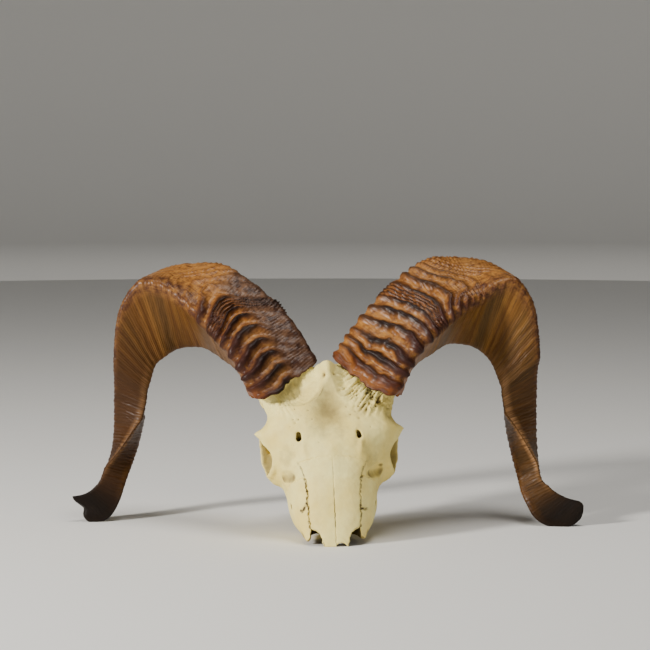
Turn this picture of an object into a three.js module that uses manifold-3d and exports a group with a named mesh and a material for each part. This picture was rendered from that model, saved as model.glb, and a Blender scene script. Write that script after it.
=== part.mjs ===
// Ram skull: the cranium of a grown ram without its lower jaw, standing on the tips
// of its nasal bones and of its two horns. Units are mm, +Z is up, +X runs across the
// horns and the face looks along -Y.
import * as THREE from "three";
import Module from "manifold-3d";
import { mergeVertices } from "three/addons/utils/BufferGeometryUtils.js";

const wasm = await Module();
wasm.setup();

// ---- driving dimensions ----
const GAP = 0.3; // between neighbouring bones
const LEAN_DEG = 20; // the face leans back by this angle
const ROLL_DEG = 3; // and sideways, crest towards -X
const YAW_DEG = 2.5; // and turned a little, so that its back lies towards -X
const FACE_X = 8.5; // the nasal tips stand this far off the horns' middle
const ORBIT_R = 19;
const ORBIT = { x: 58.5, q: 38, c: 98 };
const RIM_R = 4.2; // bone round the eye socket
const NASAL_T = 3.4; // thickness of a nasal bone
const NASAL_LENGTH = 84.5;
const TOOTH_LENGTHS = [7, 8.5, 9.5, 12, 14, 16]; // first premolar to last molar
const TOOTH_CROWN = 11;
const NOTCH_DEPTH = 14; // the front ends of the jaw are cut back this far
const PALATE_CLEARANCE = 5; // from the front edge of the palate down to the table
const FACE_SIDES = 28;
const HORN_POINTS = 21; // round one section of a horn
const HORN_RINGS = 25;
const CORE_POINTS = 12;
const CORE_SHARE = 0.1; // of the horn's stations filled by the bony core
const SOCKET_REST = 0.004; // the socket is deeper than its core by this share
const CORE_ROOT = 26; // the core reaches this far back into the frontal bone
const CORE_SIZES = { root: 0.8, mouth: 0.82, taper: 0.2 }; // shares of the sheath's section
const SOCKET_ROOM = { all: 0.012, mouth: 0.07 }; // by which the socket is wider than the core
const RIM_GAP = 1; // between the sheath's rim and the frontal bone
const RIM_ROOM = 1.04; // width of the seat cut for the sheath, as a share of its section
// distance from the rim and share of the sheath's section that the bone under it fills in front
const NECK = [[-30, 1.9], [-24, 1.3], [-19, 1.02], [-13, 0.95], [4, 0.93]];
const CREST_HALF = 8; // half width of the bone that stays between the two sheaths

// ---- materials ----
const bone = () => new THREE.MeshStandardMaterial({ color: 0xe3d9b4, roughness: 0.75, metalness: 0 });
const horn = () => new THREE.MeshStandardMaterial({ color: 0x7a4219, roughness: 0.35, metalness: 0 });

// ---- helpers ----
const toRad = (deg) => (deg * Math.PI) / 180;

function solid(geometry) {
  const plain = geometry.clone();
  plain.deleteAttribute("normal");
  plain.deleteAttribute("uv");
  const merged = mergeVertices(plain, 1e-3);
  const mesh = new wasm.Mesh({
    numProp: 3,
    vertProperties: new Float32Array(merged.attributes.position.array),
    triVerts: new Uint32Array(merged.index.array),
  });
  return new wasm.Manifold(mesh);
}

// the main body, without crumbs left at its edge by a cut
function main(manifold) {
  return manifold.decompose().reduce((best, body) => (body.volume() > best.volume() ? body : best));
}

function toGeometry(manifold) {
  const mesh = manifold.getMesh();
  const geometry = new THREE.BufferGeometry();
  geometry.setAttribute("position", new THREE.BufferAttribute(new Float32Array(mesh.vertProperties), 3));
  geometry.setIndex(new THREE.BufferAttribute(new Uint32Array(mesh.triVerts), 1));
  return geometry;
}

// Closed skin over rings of equal point counts, given in order along the piece.
function skin(rings) {
  const count = rings[0].length;
  const points = rings.flat();
  const faces = [];
  for (let i = 0; i < rings.length - 1; i++) {
    for (let j = 0; j < count; j++) {
      const a = i * count + j;
      const b = i * count + ((j + 1) % count);
      faces.push(a, b, b + count, a, b + count, a + count);
    }
  }
  const caps = [0, rings.length - 1];
  for (const cap of caps) {
    const middle = new THREE.Vector3();
    rings[cap].forEach((p) => middle.addScaledVector(p, 1 / count));
    points.push(middle);
    const hub = points.length - 1;
    for (let j = 0; j < count; j++) {
      const a = cap * count + j;
      const b = cap * count + ((j + 1) % count);
      if (cap === 0) faces.push(hub, b, a);
      else faces.push(hub, a, b);
    }
  }
  const geometry = new THREE.BufferGeometry().setFromPoints(points);
  geometry.setIndex(faces);
  const made = solid(geometry);
  if (made.volume() > 0) return made;
  geometry.setIndex(faces.reverse());
  return solid(geometry);
}

// Smooth table: rows of [key, value, value, ...] read at any key between the rows.
function table(rows) {
  const keys = rows.map((row) => row[0]);
  return (key) => {
    let i = keys.findIndex((k) => k > key);
    if (i < 0) i = keys.length - 1;
    i = Math.min(Math.max(i, 1), keys.length - 1);
    const span = keys[i] - keys[i - 1];
    const t = Math.min(Math.max((key - keys[i - 1]) / span, 0), 1);
    const before = rows[Math.max(i - 2, 0)];
    const after = rows[Math.min(i + 1, rows.length - 1)];
    return rows[i].slice(1).map((end, v) => {
      const start = rows[i - 1][v + 1];
      const slopeIn = ((end - before[v + 1]) / Math.max(keys[i] - before[0], span)) * span;
      const slopeOut = ((after[v + 1] - start) / Math.max(after[0] - keys[i - 1], span)) * span;
      const t2 = t * t;
      const t3 = t2 * t;
      return (
        start * (2 * t3 - 3 * t2 + 1) + slopeIn * (t3 - 2 * t2 + t)
        + end * (3 * t2 - 2 * t3) + slopeOut * (t3 - t2)
      );
    });
  };
}

function ellipsoid(x, q, c, rx, rq, rc, detail = 12) {
  const geometry = new THREE.SphereGeometry(1, detail * 2, detail);
  geometry.rotateX(Math.PI / 2);
  geometry.scale(rx, rq, rc);
  geometry.translate(x, q, c);
  return solid(geometry);
}

function tube(points, radius, segments = 12, sides = 8) {
  const curve = new THREE.CatmullRomCurve3(points.map((p) => new THREE.Vector3(...p)));
  const rings = [];
  const frames = curve.computeFrenetFrames(segments, false);
  for (let i = 0; i <= segments; i++) {
    const middle = curve.getPointAt(i / segments);
    const size = typeof radius === "function" ? radius(i / segments) : radius;
    const ring = [];
    for (let j = 0; j < sides; j++) {
      const turn = (j / sides) * 2 * Math.PI;
      ring.push(
        middle.clone()
          .addScaledVector(frames.normals[i], Math.cos(turn) * size)
          .addScaledVector(frames.binormals[i], Math.sin(turn) * size)
      );
    }
    rings.push(ring);
  }
  return skin(rings);
}

function box(x0, x1, q0, q1, c0, c1) {
  const geometry = new THREE.BoxGeometry(x1 - x0, q1 - q0, c1 - c0);
  geometry.translate((x0 + x1) / 2, (q0 + q1) / 2, (c0 + c1) / 2);
  return solid(geometry);
}

// Prism over a closed outline in the (first, second) plane, pushed along the third axis.
function prism(outline, from, to, order) {
  const shape = new THREE.Shape(outline.map((p) => new THREE.Vector2(p[0], p[1])));
  const geometry = new THREE.ExtrudeGeometry(shape, { depth: to - from, bevelEnabled: false });
  geometry.translate(0, 0, from);
  const position = geometry.attributes.position;
  for (let i = 0; i < position.count; i++) {
    const p = [position.getX(i), position.getY(i), position.getZ(i)];
    position.setXYZ(i, p[order[0]], p[order[1]], p[order[2]]);
  }
  const made = solid(geometry);
  if (made.volume() > 0) return made;
  const index = Array.from({ length: position.count }, (_, i) => i).reverse();
  geometry.setIndex(index);
  return solid(geometry);
}

const both = (make) => make(-1).add(make(1));

// ---- the skull, in its own frame ----
// x runs across the face, q back from it, c up along it from nasal tips to crest.

// c, half width, depth of the face line, depth at the widest point, depth of the back, squareness
const faceRow = table([
  [-3, 17, 0.8, 9, 20, 2.3],
  [8, 26.5, -2.2, 14, 25, 2.4],
  [18, 31.5, -4.6, 22, 41, 2.5],
  [27, 36.5, -6.6, 30, 58, 2.6],
  [42, 41.5, -9.2, 40, 68, 2.6],
  [58, 43.5, -11.4, 44, 77, 2.5],
  [72, 49, -12.2, 44, 85, 2.4],
  [84, 55.5, -12.2, 40, 91, 2.3],
  [96, 61, -11, 34, 78, 2.2],
  [106, 67, -9.6, 24, 62, 2.1],
  [113, 70.5, -8.4, 20, 52, 2.1],
  [121, 63, -7, 21, 52, 2.1],
  [130, 58.5, -5, 22, 56, 2.1],
  [142, 61, -3, 25, 60, 2],
  [152, 64.5, -1, 29, 62, 1.7],
  [163, 60, 0.5, 34, 62, 1.35],
  [173, 42, 2, 34, 56, 1.4],
  [181, 17, 4.5, 24, 42, 1.6],
]);

// depth of the face surface at x, c
function faceDepth(x, c) {
  const [half, front, widest, , square] = faceRow(c);
  const share = Math.min(Math.abs(x) / half, 1);
  return widest - (widest - front) * Math.pow(1 - Math.pow(share, square), 1 / square);
}

function faceRing(c, sides) {
  const [half, front, widest, back, square] = faceRow(c);
  const ring = [];
  for (let j = 0; j < sides; j++) {
    const turn = (j / sides) * 2 * Math.PI;
    const s = Math.sin(turn);
    const k = Math.cos(turn);
    const x = half * Math.sign(s) * Math.pow(Math.abs(s), 2 / square);
    const reach = Math.pow(Math.abs(k), 2 / square);
    const q = k > 0 ? widest - (widest - front) * reach : widest + (back - widest) * reach;
    ring.push(new THREE.Vector3(x, q, c));
  }
  return ring;
}

const FACE_LEVELS = [
  -3, 6, 13, 20, 28, 39, 51, 63, 74, 84, 95, 104, 109, 113, 118, 123, 131, 142, 152, 161, 170, 176, 181,
];
const face = skin(FACE_LEVELS.map((c) => faceRing(c, FACE_SIDES)));

// rounded-box ring used for the hollow of the nose and for the skull base
function slabRing(c, half, front, back, sides, square) {
  const ring = [];
  for (let j = 0; j < sides; j++) {
    const turn = (j / sides) * 2 * Math.PI;
    const s = Math.sin(turn);
    const k = Math.cos(turn);
    const x = half * Math.sign(s) * Math.pow(Math.abs(s), 2 / square);
    const q = (front + back) / 2 - ((back - front) / 2) * Math.sign(k) * Math.pow(Math.abs(k), 2 / square);
    ring.push(new THREE.Vector3(x, q, c));
  }
  return ring;
}

function slab(rows, sides = 20, square = 4) {
  return skin(rows.map((row) => slabRing(row[0], row[1], row[2], row[3], sides, square)));
}

const braincase = ellipsoid(0, 66, 141, 40, 47, 44, 8);
const base = slab([
  [84, 10, 62, 98],
  [96, 12, 60, 104],
  [112, 15, 58, 110],
  [130, 18, 60, 114],
  [150, 20, 64, 116],
  [164, 18, 70, 112],
]);
const wings = both((side) =>
  tube([[side * 13, 92, 84], [side * 13.5, 108, 92], [side * 14, 116, 104], [side * 15, 112, 124]], 3.2, 6, 6)
);
const bullae = both((side) => ellipsoid(side * 19, 112, 137, 9, 9, 13, 5));
const condyles = both((side) => ellipsoid(side * 15, 115, 160, 10.5, 11, 12, 6));
const jugulars = both((side) => tube([[side * 27, 100, 152], [side * 27, 122, 146], [side * 26, 133, 140]],
  (t) => 6.5 - 3.5 * t, 4, 6));
const nuchal = tube([[-42, 84, 146], [-38, 80, 166], [-24, 74, 180], [0, 72, 186], [24, 74, 180], [38, 80, 166],
  [42, 84, 146]], 3.6, 14, 5);
const arches = both((side) =>
  tube([[side * 41, 33, 79], [side * 53, 46, 84], [side * 61, 57, 94], [side * 64, 66, 108],
    [side * 60, 75, 121], [side * 49, 82, 131], [side * 34, 85, 137]],
    (t) => 7.5 - 5 * t * (1.35 - t), 10, 6)
);

const temples = both((side) => ellipsoid(side * 43, 64, 100, 10, 8, 16, 4));
const cheeks = both((side) => ellipsoid(side * 49, 46, 80, 11, 17, 10, 5));

// raised rim of the eye socket: a closed ring, its front edge drawn in towards the nose
function orbitRim(side) {
  const points = [];
  for (let j = 0; j < 18; j++) {
    const turn = (j / 18) * 2 * Math.PI;
    const back = Math.cos(turn);
    const x = 61.5 + 3 * Math.sin(turn) + 1.5 * back - 7 * Math.pow(Math.max(-back, 0), 2);
    const reach = ORBIT_R + 1;
    points.push(new THREE.Vector3(side * x, ORBIT.q + reach * back, ORBIT.c + reach * Math.sin(turn)));
  }
  const curve = new THREE.CatmullRomCurve3(points, true);
  return solid(new THREE.TubeGeometry(curve, 16, RIM_R, 6, true));
}

const orbits = both((side) => ellipsoid(side * ORBIT.x, ORBIT.q, ORBIT.c, 21, ORBIT_R, ORBIT_R, 7));
const lacrimalPits = both((side) => ellipsoid(side * 43, 12, 71, 7.5, 8, 4, 5));
const FORAMEN_X = { left: -31.5, right: 28 };
const lipScoop = ellipsoid(-35, -5, 164, 31, 20, 26.5, 6); // hollow of the forehead under the left sheath
const foramina = both((side) => {
  const geometry = new THREE.CylinderGeometry(2.6, 2, 30, 10);
  geometry.scale(1, 1, 1.5);
  geometry.rotateZ(side * toRad(-12));
  geometry.translate(side < 0 ? FORAMEN_X.left : FORAMEN_X.right, 4, 105);
  return solid(geometry);
});
const magnum = (() => {
  const geometry = new THREE.CylinderGeometry(10, 9, 50, 16);
  geometry.rotateX(toRad(58));
  geometry.translate(0, 104, 166);
  return solid(geometry);
})();
const choana = slab([[78, 9, 80, 90], [90, 10.5, 74, 96], [106, 10, 88, 106], [118, 7, 100, 122]], 12, 3);
const noseHollow = slab([
  [-6, 24, -12, 17],
  [8, 23.5, -14, 21],
  [18, 23, -16, 36],
  [30, 23.5, -18, 50],
  [50, 23.5, -20, 60],
  [68, 20, -20, 66],
  [82, 10, -4, 62],
], 20, 5);

// ---- teeth ----
const ROW_START = { c: 32, q: 58, x: 29 };
const ROW_TURN = toRad(26); // the tooth row against the face line
function toothRow(side) {
  let along = 0;
  let row = null;
  TOOTH_LENGTHS.forEach((length, i) => {
    const width = 8.5 + i * 1.1;
    const geometry = new THREE.BoxGeometry(width, TOOTH_CROWN + 10, length - 0.5);
    geometry.translate(0, (TOOTH_CROWN - 10) / 2, along + length / 2);
    geometry.rotateX(-ROW_TURN);
    geometry.translate(side * (ROW_START.x + i * 1.1), ROW_START.q, ROW_START.c);
    const tooth = solid(geometry);
    row = row ? row.add(tooth) : tooth;
    along += length;
  });
  return row;
}
const palateRow = [
  [20, 24, 60, 80],
  [30, 21, 55, 84],
  [60, 21, 70, 100],
  [88, 21, 86, 112],
];
const palate = slab(palateRow, 16, 3);

// ---- horns, in the frame of the whole skull ----
// along the horn: x, y, z, width seen from the front, depth, lean of that width from +-X,
// turn of the ribbed face about the horn
const LEFT_HORN = [
  [-41, 81, 146, 75, 60, 151, 35],
  [-70, 107, 185, 75, 63, 133, 40],
  [-115, 132, 212, 84, 62, 107, 56],
  [-144, 146, 213, 83, 60, 94, 74],
  [-168, 153, 203, 82, 57, 79, 90],
  [-184, 158, 184, 67, 53, 63, 103],
  [-192, 162, 149, 44, 48, 40, 118],
  [-195, 163, 123, 34, 43, 23, 132],
  [-201, 161, 78, 26, 34, 2, 175],
  [-212, 154, 40, 24, 26, 15, 222],
  [-220, 150, 24, 29, 22, 29, 235],
  [-231, 146, 13.6, 34, 18, 47, 240],
  [-247, 142, 11.8, 30, 12, 59, 240],
];
const RIGHT_HORN = [
  [38, 81, 149, 77, 60, 149, 37],
  [65, 105, 187, 72, 63, 138, 39],
  [112, 130, 217, 85, 62, 108, 53],
  [141, 144, 217, 86, 60, 93, 66],
  [165, 150, 207, 85, 57, 76, 87],
  [181, 153, 187, 74, 53, 60, 102],
  [189, 154, 155, 53, 48, 45, 116],
  [190, 153, 132, 39, 43, 30, 131],
  [193, 146, 86, 29, 34, 18, 175],
  [200, 135, 42, 22, 26, 23, 222],
  [208, 128, 27, 28, 22, 28, 235],
  [221, 122, 15, 36, 18, 38, 240],
  [237, 117, 10, 35, 14, 48, 240],
  [248, 113, 8, 20, 9, 57, 240],
];
// three faces of the section, as turns from the ribbed one and as distances from the middle
const FACES = [[0, 1], [-120, 0.98], [120, 1.02]];
const EDGE_POWER = 5;

function sectionRadius(turn) {
  const sum = FACES.reduce((total, [at, distance]) => {
    const facing = Math.cos(turn - toRad(at));
    return total + (facing > 0 ? Math.pow(facing / distance, EDGE_POWER) : 0);
  }, 0);
  return Math.pow(sum, -1 / EDGE_POWER);
}

function hornFrames(stations, side) {
  const rows = table(stations.map((station, i) => [i / (stations.length - 1), ...station]));
  return (t) => {
    const [x, y, z, width, depth, lean, turn] = rows(t);
    const ahead = rows(Math.min(t + 0.01, 1));
    const behind = rows(Math.max(t - 0.01, 0));
    const along = new THREE.Vector3(ahead[0] - behind[0], ahead[1] - behind[1], ahead[2] - behind[2]);
    const outer = new THREE.Vector3(side * Math.cos(toRad(lean)), 0, Math.sin(toRad(lean)));
    const towards = new THREE.Vector3().crossVectors(along.normalize(), outer).normalize();
    if (towards.y > 0) towards.negate();
    return { point: new THREE.Vector3(x, y, z), along, towards, outer, side, sizes: [width, depth, turn] };
  };
}

// the rim of the sheath reaches down further in front and on its outer side
const RIM_FRONT = 0.3;
const RIM_SIDE = 0.12;
// and bows: mm down, and the turn and half width of each bow
const RIM_BOWS = {
  "-1": [[4, 10, 80], [6, -42, 28], [-8, -105, 50], [-14, 175, 60]],
  1: [[6.5, 10, 80], [3.5, -38, 28], [-7, -105, 50], [-13, 175, 60]],
};

function rimBow(turn, side) {
  return RIM_BOWS[side].reduce((total, [drop, at, reach]) => {
    const away = ((turn + Math.PI * 3 - toRad(at)) % (Math.PI * 2)) - Math.PI;
    return total + drop * Math.cos((Math.min(Math.abs(away) / toRad(reach), 1) * Math.PI) / 2);
  }, 0);
}

function hornRing(frame, scale, sides, rim = 0) {
  const [width, depth, turnDeg] = frame.sizes;
  const flat = [];
  for (let j = 0; j < sides; j++) {
    const turn = (j / sides) * 2 * Math.PI;
    const radius = sectionRadius(turn);
    const seen = turn + toRad(turnDeg);
    flat.push([radius * Math.sin(seen), radius * Math.cos(seen), rimBow(turn, frame.side)]);
  }
  const [lowO, highO] = [Math.min(...flat.map((p) => p[0])), Math.max(...flat.map((p) => p[0]))];
  const [lowT, highT] = [Math.min(...flat.map((p) => p[1])), Math.max(...flat.map((p) => p[1]))];
  return flat.map(([o, t, bow]) => {
    const outwards = ((o - (lowO + highO) / 2) / (highO - lowO)) * width * scale;
    const forwards = ((t - (lowT + highT) / 2) / (highT - lowT)) * depth * scale;
    return frame.point.clone()
      .addScaledVector(frame.outer, outwards)
      .addScaledVector(frame.towards, forwards)
      .addScaledVector(frame.along, rim * (RIM_SIDE * outwards - RIM_FRONT * forwards - bow));
  });
}

function rootRing(at, level, scale, sides, rim) {
  const root = at(0);
  root.point.addScaledVector(root.along, level);
  return hornRing(root, scale, sides, rim);
}

// Whole horn; the same shape a little larger and lengthened at its root makes room for it.
function hornSolid(stations, side, scale, lead) {
  const at = hornFrames(stations, side);
  const rings = lead > 0 ? [rootRing(at, -lead, scale, HORN_POINTS, 1)] : [];
  for (let i = 0; i <= HORN_RINGS; i++) {
    rings.push(hornRing(at(i / HORN_RINGS), scale, HORN_POINTS, Math.max(1 - i / 2, 0)));
  }
  return skin(rings);
}

// Bony core, or with room for it the socket; rings run from the frontal bone into the sheath.
function coreSolid(stations, side, room = { all: 0, mouth: 0 }) {
  const at = hornFrames(stations, side);
  const rings = [rootRing(at, -CORE_ROOT, CORE_SIZES.root + room.all + room.mouth, CORE_POINTS, 0)];
  const steps = 5;
  for (let i = 0; i <= steps; i++) {
    const share = i / steps;
    const t = share * (CORE_SHARE + (room.all > 0 ? SOCKET_REST : 0));
    const scale = CORE_SIZES.mouth - CORE_SIZES.taper * share ** 2 + room.all + room.mouth * (1 - share) ** 2;
    rings.push(hornRing(at(t), scale, CORE_POINTS));
  }
  return skin(rings);
}

// The room in front of a horn's root that the forehead leaves free, so that the rim overhangs it.
function rimRoom(stations, side) {
  const at = hornFrames(stations, side);
  const [low, widest] = NECK[0];
  const high = NECK[NECK.length - 1][0];
  const room = skin([low, high].map((level) => rootRing(at, level, widest * 1.1, HORN_POINTS, 1)));
  const neck = skin(NECK.map(([level, share]) => rootRing(at, level, share, HORN_POINTS, 1)));
  const rootY = stations[0][1];
  return room.subtract(neck).intersect(box(-120, 120, -60, rootY, 0, 260));
}

// ---- place the skull ----
const placing = new THREE.Matrix4()
  .makeTranslation(FACE_X, 0, 0)
  .multiply(new THREE.Matrix4().makeRotationY(toRad(-ROLL_DEG)))
  .multiply(new THREE.Matrix4().makeRotationX(toRad(-LEAN_DEG)))
  .multiply(new THREE.Matrix4().makeRotationZ(toRad(YAW_DEG)));

function placed(manifold) {
  const geometry = toGeometry(manifold);
  geometry.applyMatrix4(placing);
  return solid(geometry);
}

// side view outline (q, c) of the facial part in front of the suture with lacrimal and cheek bone
function facialRegion(shift) {
  return prism([
    [-40, 67 - shift], [10, 65 - shift], [40, 57 - shift], [58 + shift, 60 - shift],
    [66 + shift, 76 - shift], [72 + shift, 94 - shift], [140, 104 - shift], [140, -30], [-40, -30],
  ], -90, 90, [2, 0, 1]);
}

// half width of the nasal bones up along the face
const nasalHalf = table([
  [-2, 9.8],
  [8, 13.3],
  [15.5, 17],
  [18.5, 22.6],
  [36, 24],
  [58, 25],
  [72, 28],
  [80, 32.5],
  [NASAL_LENGTH, 35],
]);
const NASAL_LEVELS = [-2, 5, 15.5, 18.5, 28, 39, 51, 63, 74, NASAL_LENGTH];

function nasal(side, grow, lift) {
  const across = 4;
  const rings = NASAL_LEVELS.map((level, n) => {
    const c = n === NASAL_LEVELS.length - 1 ? level + grow : level - (n === 0 ? grow : 0);
    const half = nasalHalf(level)[0] + grow;
    const inner = grow > 0 ? -1 : GAP / 2;
    const ring = [];
    for (let j = 0; j <= across; j++) {
      const x = inner + ((half - inner) * j) / across;
      ring.push(new THREE.Vector3(side * x, faceDepth(x, c) - lift, c));
    }
    for (let j = across; j >= 0; j--) {
      const x = inner + ((half - inner) * j) / across;
      ring.push(new THREE.Vector3(side * x, faceDepth(x, c) + NASAL_T + grow, c));
    }
    return ring;
  });
  return skin(rings);
}

const nasalRoom = both((side) => nasal(side, GAP, 6));
// open notches beside the nasal tips, where the premaxillae are lost
const notches = both((side) => prism([
  [side * 16, 17.6], [side * 22.2, 18.4], [side * 23.6, 13], [side * 24.5, 8.6], [side * 27.6, 7.4],
  [side * 45, 6], [side * 45, -12], [side * 9, -12],
], -30, NOTCH_DEPTH, [0, 2, 1]));
const middleNotch = box(-16, 16, -30, NOTCH_DEPTH, -12, 18);

let skull = face.add(braincase).add(temples).add(base).add(cheeks).add(both((side) => orbitRim(side))).add(arches);
skull = skull.subtract(orbits);
skull = skull.add(wings).add(bullae).add(condyles).add(jugulars).add(nuchal);
skull = skull.subtract(noseHollow).subtract(palate).subtract(choana).subtract(magnum);
skull = skull.add(both(toothRow));
skull = skull.subtract(lipScoop).subtract(lacrimalPits).subtract(foramina);
skull = skull.subtract(nasalRoom).subtract(notches).subtract(middleNotch);

let cranium = placed(skull.subtract(facialRegion(-GAP / 2)));
const underPalate = box(-60, 70, NOTCH_DEPTH, 120, -60, PALATE_CLEARANCE);
const facialBones = skull.intersect(facialRegion(GAP / 2));
const halves = {
  maxilla_left: facialBones.intersect(box(-90, -GAP / 2, -60, 160, -30, 120)),
  maxilla_right: facialBones.intersect(box(GAP / 2, 90, -60, 160, -30, 120)),
};

const crest = placed(box(-CREST_HALF, CREST_HALF, -60, 160, -30, 200));
for (const [stations, side] of [[LEFT_HORN, -1], [RIGHT_HORN, 1]]) {
  cranium = cranium.subtract(rimRoom(stations, side).subtract(crest));
  cranium = cranium.subtract(hornSolid(stations, side, RIM_ROOM, RIM_GAP));
}
cranium = main(cranium).add(coreSolid(LEFT_HORN, -1)).add(coreSolid(RIGHT_HORN, 1));
const hornLeft = hornSolid(LEFT_HORN, -1, 1, 0).subtract(coreSolid(LEFT_HORN, -1, SOCKET_ROOM));
const hornRight = hornSolid(RIGHT_HORN, 1, 1, 0).subtract(coreSolid(RIGHT_HORN, 1, SOCKET_ROOM));

const nodes = {
  cranium: [cranium, bone()],
  maxilla_left: [placed(halves.maxilla_left).subtract(underPalate), bone()],
  maxilla_right: [placed(halves.maxilla_right).subtract(underPalate), bone()],
  nasal_left: [placed(nasal(-1, 0, 0)), bone()],
  nasal_right: [placed(nasal(1, 0, 0)), bone()],
  horn_left: [hornLeft, horn()],
  horn_right: [hornRight, horn()],
};

// the table trims a small flat on each of the three feet
const tableTop = box(-400, 400, -200, 400, -60, 0);
const group = new THREE.Group();
for (const [name, [manifold, material]] of Object.entries(nodes)) {
  const mesh = new THREE.Mesh(toGeometry(main(manifold.subtract(tableTop))), material);
  mesh.name = name;
  group.add(mesh);
}

// origin in the middle of the footprint, at the level of the table
const bounds = new THREE.Box3().setFromObject(group);
const middle = bounds.getCenter(new THREE.Vector3());
group.position.set(-middle.x, -middle.y, -bounds.min.z);

export default group;
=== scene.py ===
import math

import bpy
import numpy as np
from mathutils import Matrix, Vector


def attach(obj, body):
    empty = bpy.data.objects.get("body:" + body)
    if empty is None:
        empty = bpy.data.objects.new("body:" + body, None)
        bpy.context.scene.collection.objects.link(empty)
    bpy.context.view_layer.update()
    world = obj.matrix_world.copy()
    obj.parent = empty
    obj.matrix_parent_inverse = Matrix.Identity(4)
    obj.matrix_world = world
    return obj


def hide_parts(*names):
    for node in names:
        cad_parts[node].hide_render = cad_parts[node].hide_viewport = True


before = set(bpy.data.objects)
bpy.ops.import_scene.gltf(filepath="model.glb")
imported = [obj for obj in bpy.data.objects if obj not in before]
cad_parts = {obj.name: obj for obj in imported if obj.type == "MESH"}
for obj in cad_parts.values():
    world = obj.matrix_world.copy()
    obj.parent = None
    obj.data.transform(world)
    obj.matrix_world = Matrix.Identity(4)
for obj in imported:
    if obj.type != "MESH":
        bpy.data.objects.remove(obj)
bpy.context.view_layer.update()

# ---------------------------------------------------------------------------
# Cranium: the forehead, eye sockets, braincase and skull base of a grown ram,
# one fused bone with the two bony horn cores that grow out of its frontal bones.
# It is dry, bleached bone: matte ivory, olive staining and painted shade in its hollows, grooved at the
# cores.

MM = 0.001
LEAN = math.radians(20)  # the face leans back
ROLL = math.radians(3)  # and the crest tips to one side
YAW = math.radians(2.5)  # and its back a little too
FACE_AT = np.array([9.15, -92.90, 0.0])  # the nose tip's place on the table, mm
CRANIUM_VOXEL = 1.17  # mm, the fineness of its surface

# the skull's own frame: x across, q back from the face, c up along it
ACROSS = np.array([math.cos(ROLL), 0, math.sin(ROLL)])
BACK = np.array([math.sin(LEAN) * math.sin(ROLL), math.cos(LEAN), -math.sin(LEAN) * math.cos(ROLL)])
UP_FACE = np.array([-math.cos(LEAN) * math.sin(ROLL), math.sin(LEAN), math.cos(LEAN) * math.cos(ROLL)])
SKULL_TURN = np.stack([math.cos(YAW) * ACROSS + math.sin(YAW) * BACK,
                       math.cos(YAW) * BACK - math.sin(YAW) * ACROSS, UP_FACE])  # skull axes on the table


def on_table(points):
    return points @ SKULL_TURN + FACE_AT


def along_rows(keys, rows, at):
    """Values of a table of sizes between its rows, on a smooth curve through them."""
    keys, rows = np.asarray(keys, float), np.asarray(rows, float)
    at = np.clip(np.asarray(at, float), keys[0], keys[-1])
    i = np.clip(np.searchsorted(keys, at, side="right"), 1, len(keys) - 1)
    span = keys[i] - keys[i - 1]
    before, after = np.maximum(i - 2, 0), np.minimum(i + 1, len(keys) - 1)
    share_in = span / np.maximum(keys[i] - keys[before], span)
    share_out = span / np.maximum(keys[after] - keys[i - 1], span)
    slope_in = (rows[i] - rows[before]) * share_in[..., None]
    slope_out = (rows[after] - rows[i - 1]) * share_out[..., None]
    t = ((at - keys[i - 1]) / span)[..., None]
    start = rows[i - 1] * (2 * t**3 - 3 * t**2 + 1) + slope_in * (t**3 - 2 * t**2 + t)
    return start + rows[i] * (3 * t**2 - 2 * t**3) + slope_out * (t**3 - t**2)


# height on the face: half width, depth of the face line, of the widest point, of the back, squareness
FACE_HEIGHTS = [-3, 8, 18, 27, 42, 58, 72, 84, 96, 106, 113, 121, 130, 142, 152, 163, 173, 181]
FACE_SIZES = [
    (17, 0.8, 9, 20, 2.3), (26.5, -2.2, 14, 25, 2.4), (31.5, -4.6, 22, 41, 2.5),
    (36.5, -6.6, 30, 58, 2.6), (41.5, -9.2, 40, 68, 2.6), (43.5, -11.4, 44, 77, 2.5),
    (49, -12.2, 44, 85, 2.4), (55.5, -12.2, 40, 91, 2.3), (61, -11, 34, 78, 2.2),
    (65.5, -9.6, 24, 62, 2.1), (67, -8.4, 20, 52, 2.1), (62.5, -7, 21, 52, 2.1),
    (58.5, -5, 22, 56, 2.1), (61, -3, 25, 60, 2), (64.5, -1, 29, 62, 1.7),
    (60, 0.5, 34, 62, 1.35), (42, 2, 34, 56, 1.4), (17, 4.5, 24, 42, 1.6),
]
FACE_LOW, FACE_HIGH = FACE_HEIGHTS[0], FACE_HEIGHTS[-1]


def face_depth(x, c):
    half, front, widest, _, square = np.moveaxis(along_rows(FACE_HEIGHTS, FACE_SIZES, c), -1, 0)
    share = np.minimum(np.abs(x) / half, 1)
    return widest - (widest - front) * (1 - share**square) ** (1 / square)


def grid(low, high, step):
    return [np.arange(a, b + step, step, dtype=np.float32) for a, b in zip(low, high)]


def spread(axes):
    """The three axes of a grid, each along its own direction."""
    return np.meshgrid(*axes, indexing="ij", sparse=True)


def side_box(side, outer, inner, low, high):
    """Corners of a box on one side of the face that reaches this far over its middle."""
    left, right = sorted((side * outer, -side * inner))
    return (left, *low), (right, *high)


def soft_min(a, b, soft):
    h = np.clip(0.5 + 0.5 * (b - a) / soft, 0, 1)
    return b + (a - b) * h - soft * h * (1 - h)


def soft_cut(a, b, soft):
    return -soft_min(-a, b, soft)


def near(axes, low, high, margin):
    """The part of a grid round one piece of bone, and its points."""
    part = tuple(slice(*np.searchsorted(axis, (a - margin, b + margin)))
                 for axis, a, b in zip(axes, low, high))
    return part, spread([axis[s] for axis, s in zip(axes, part)])


def within(form, *bounds):
    """What is left of a form inside all these bounds."""
    for bound in bounds:
        form = np.maximum(form, bound)
    return form


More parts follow.
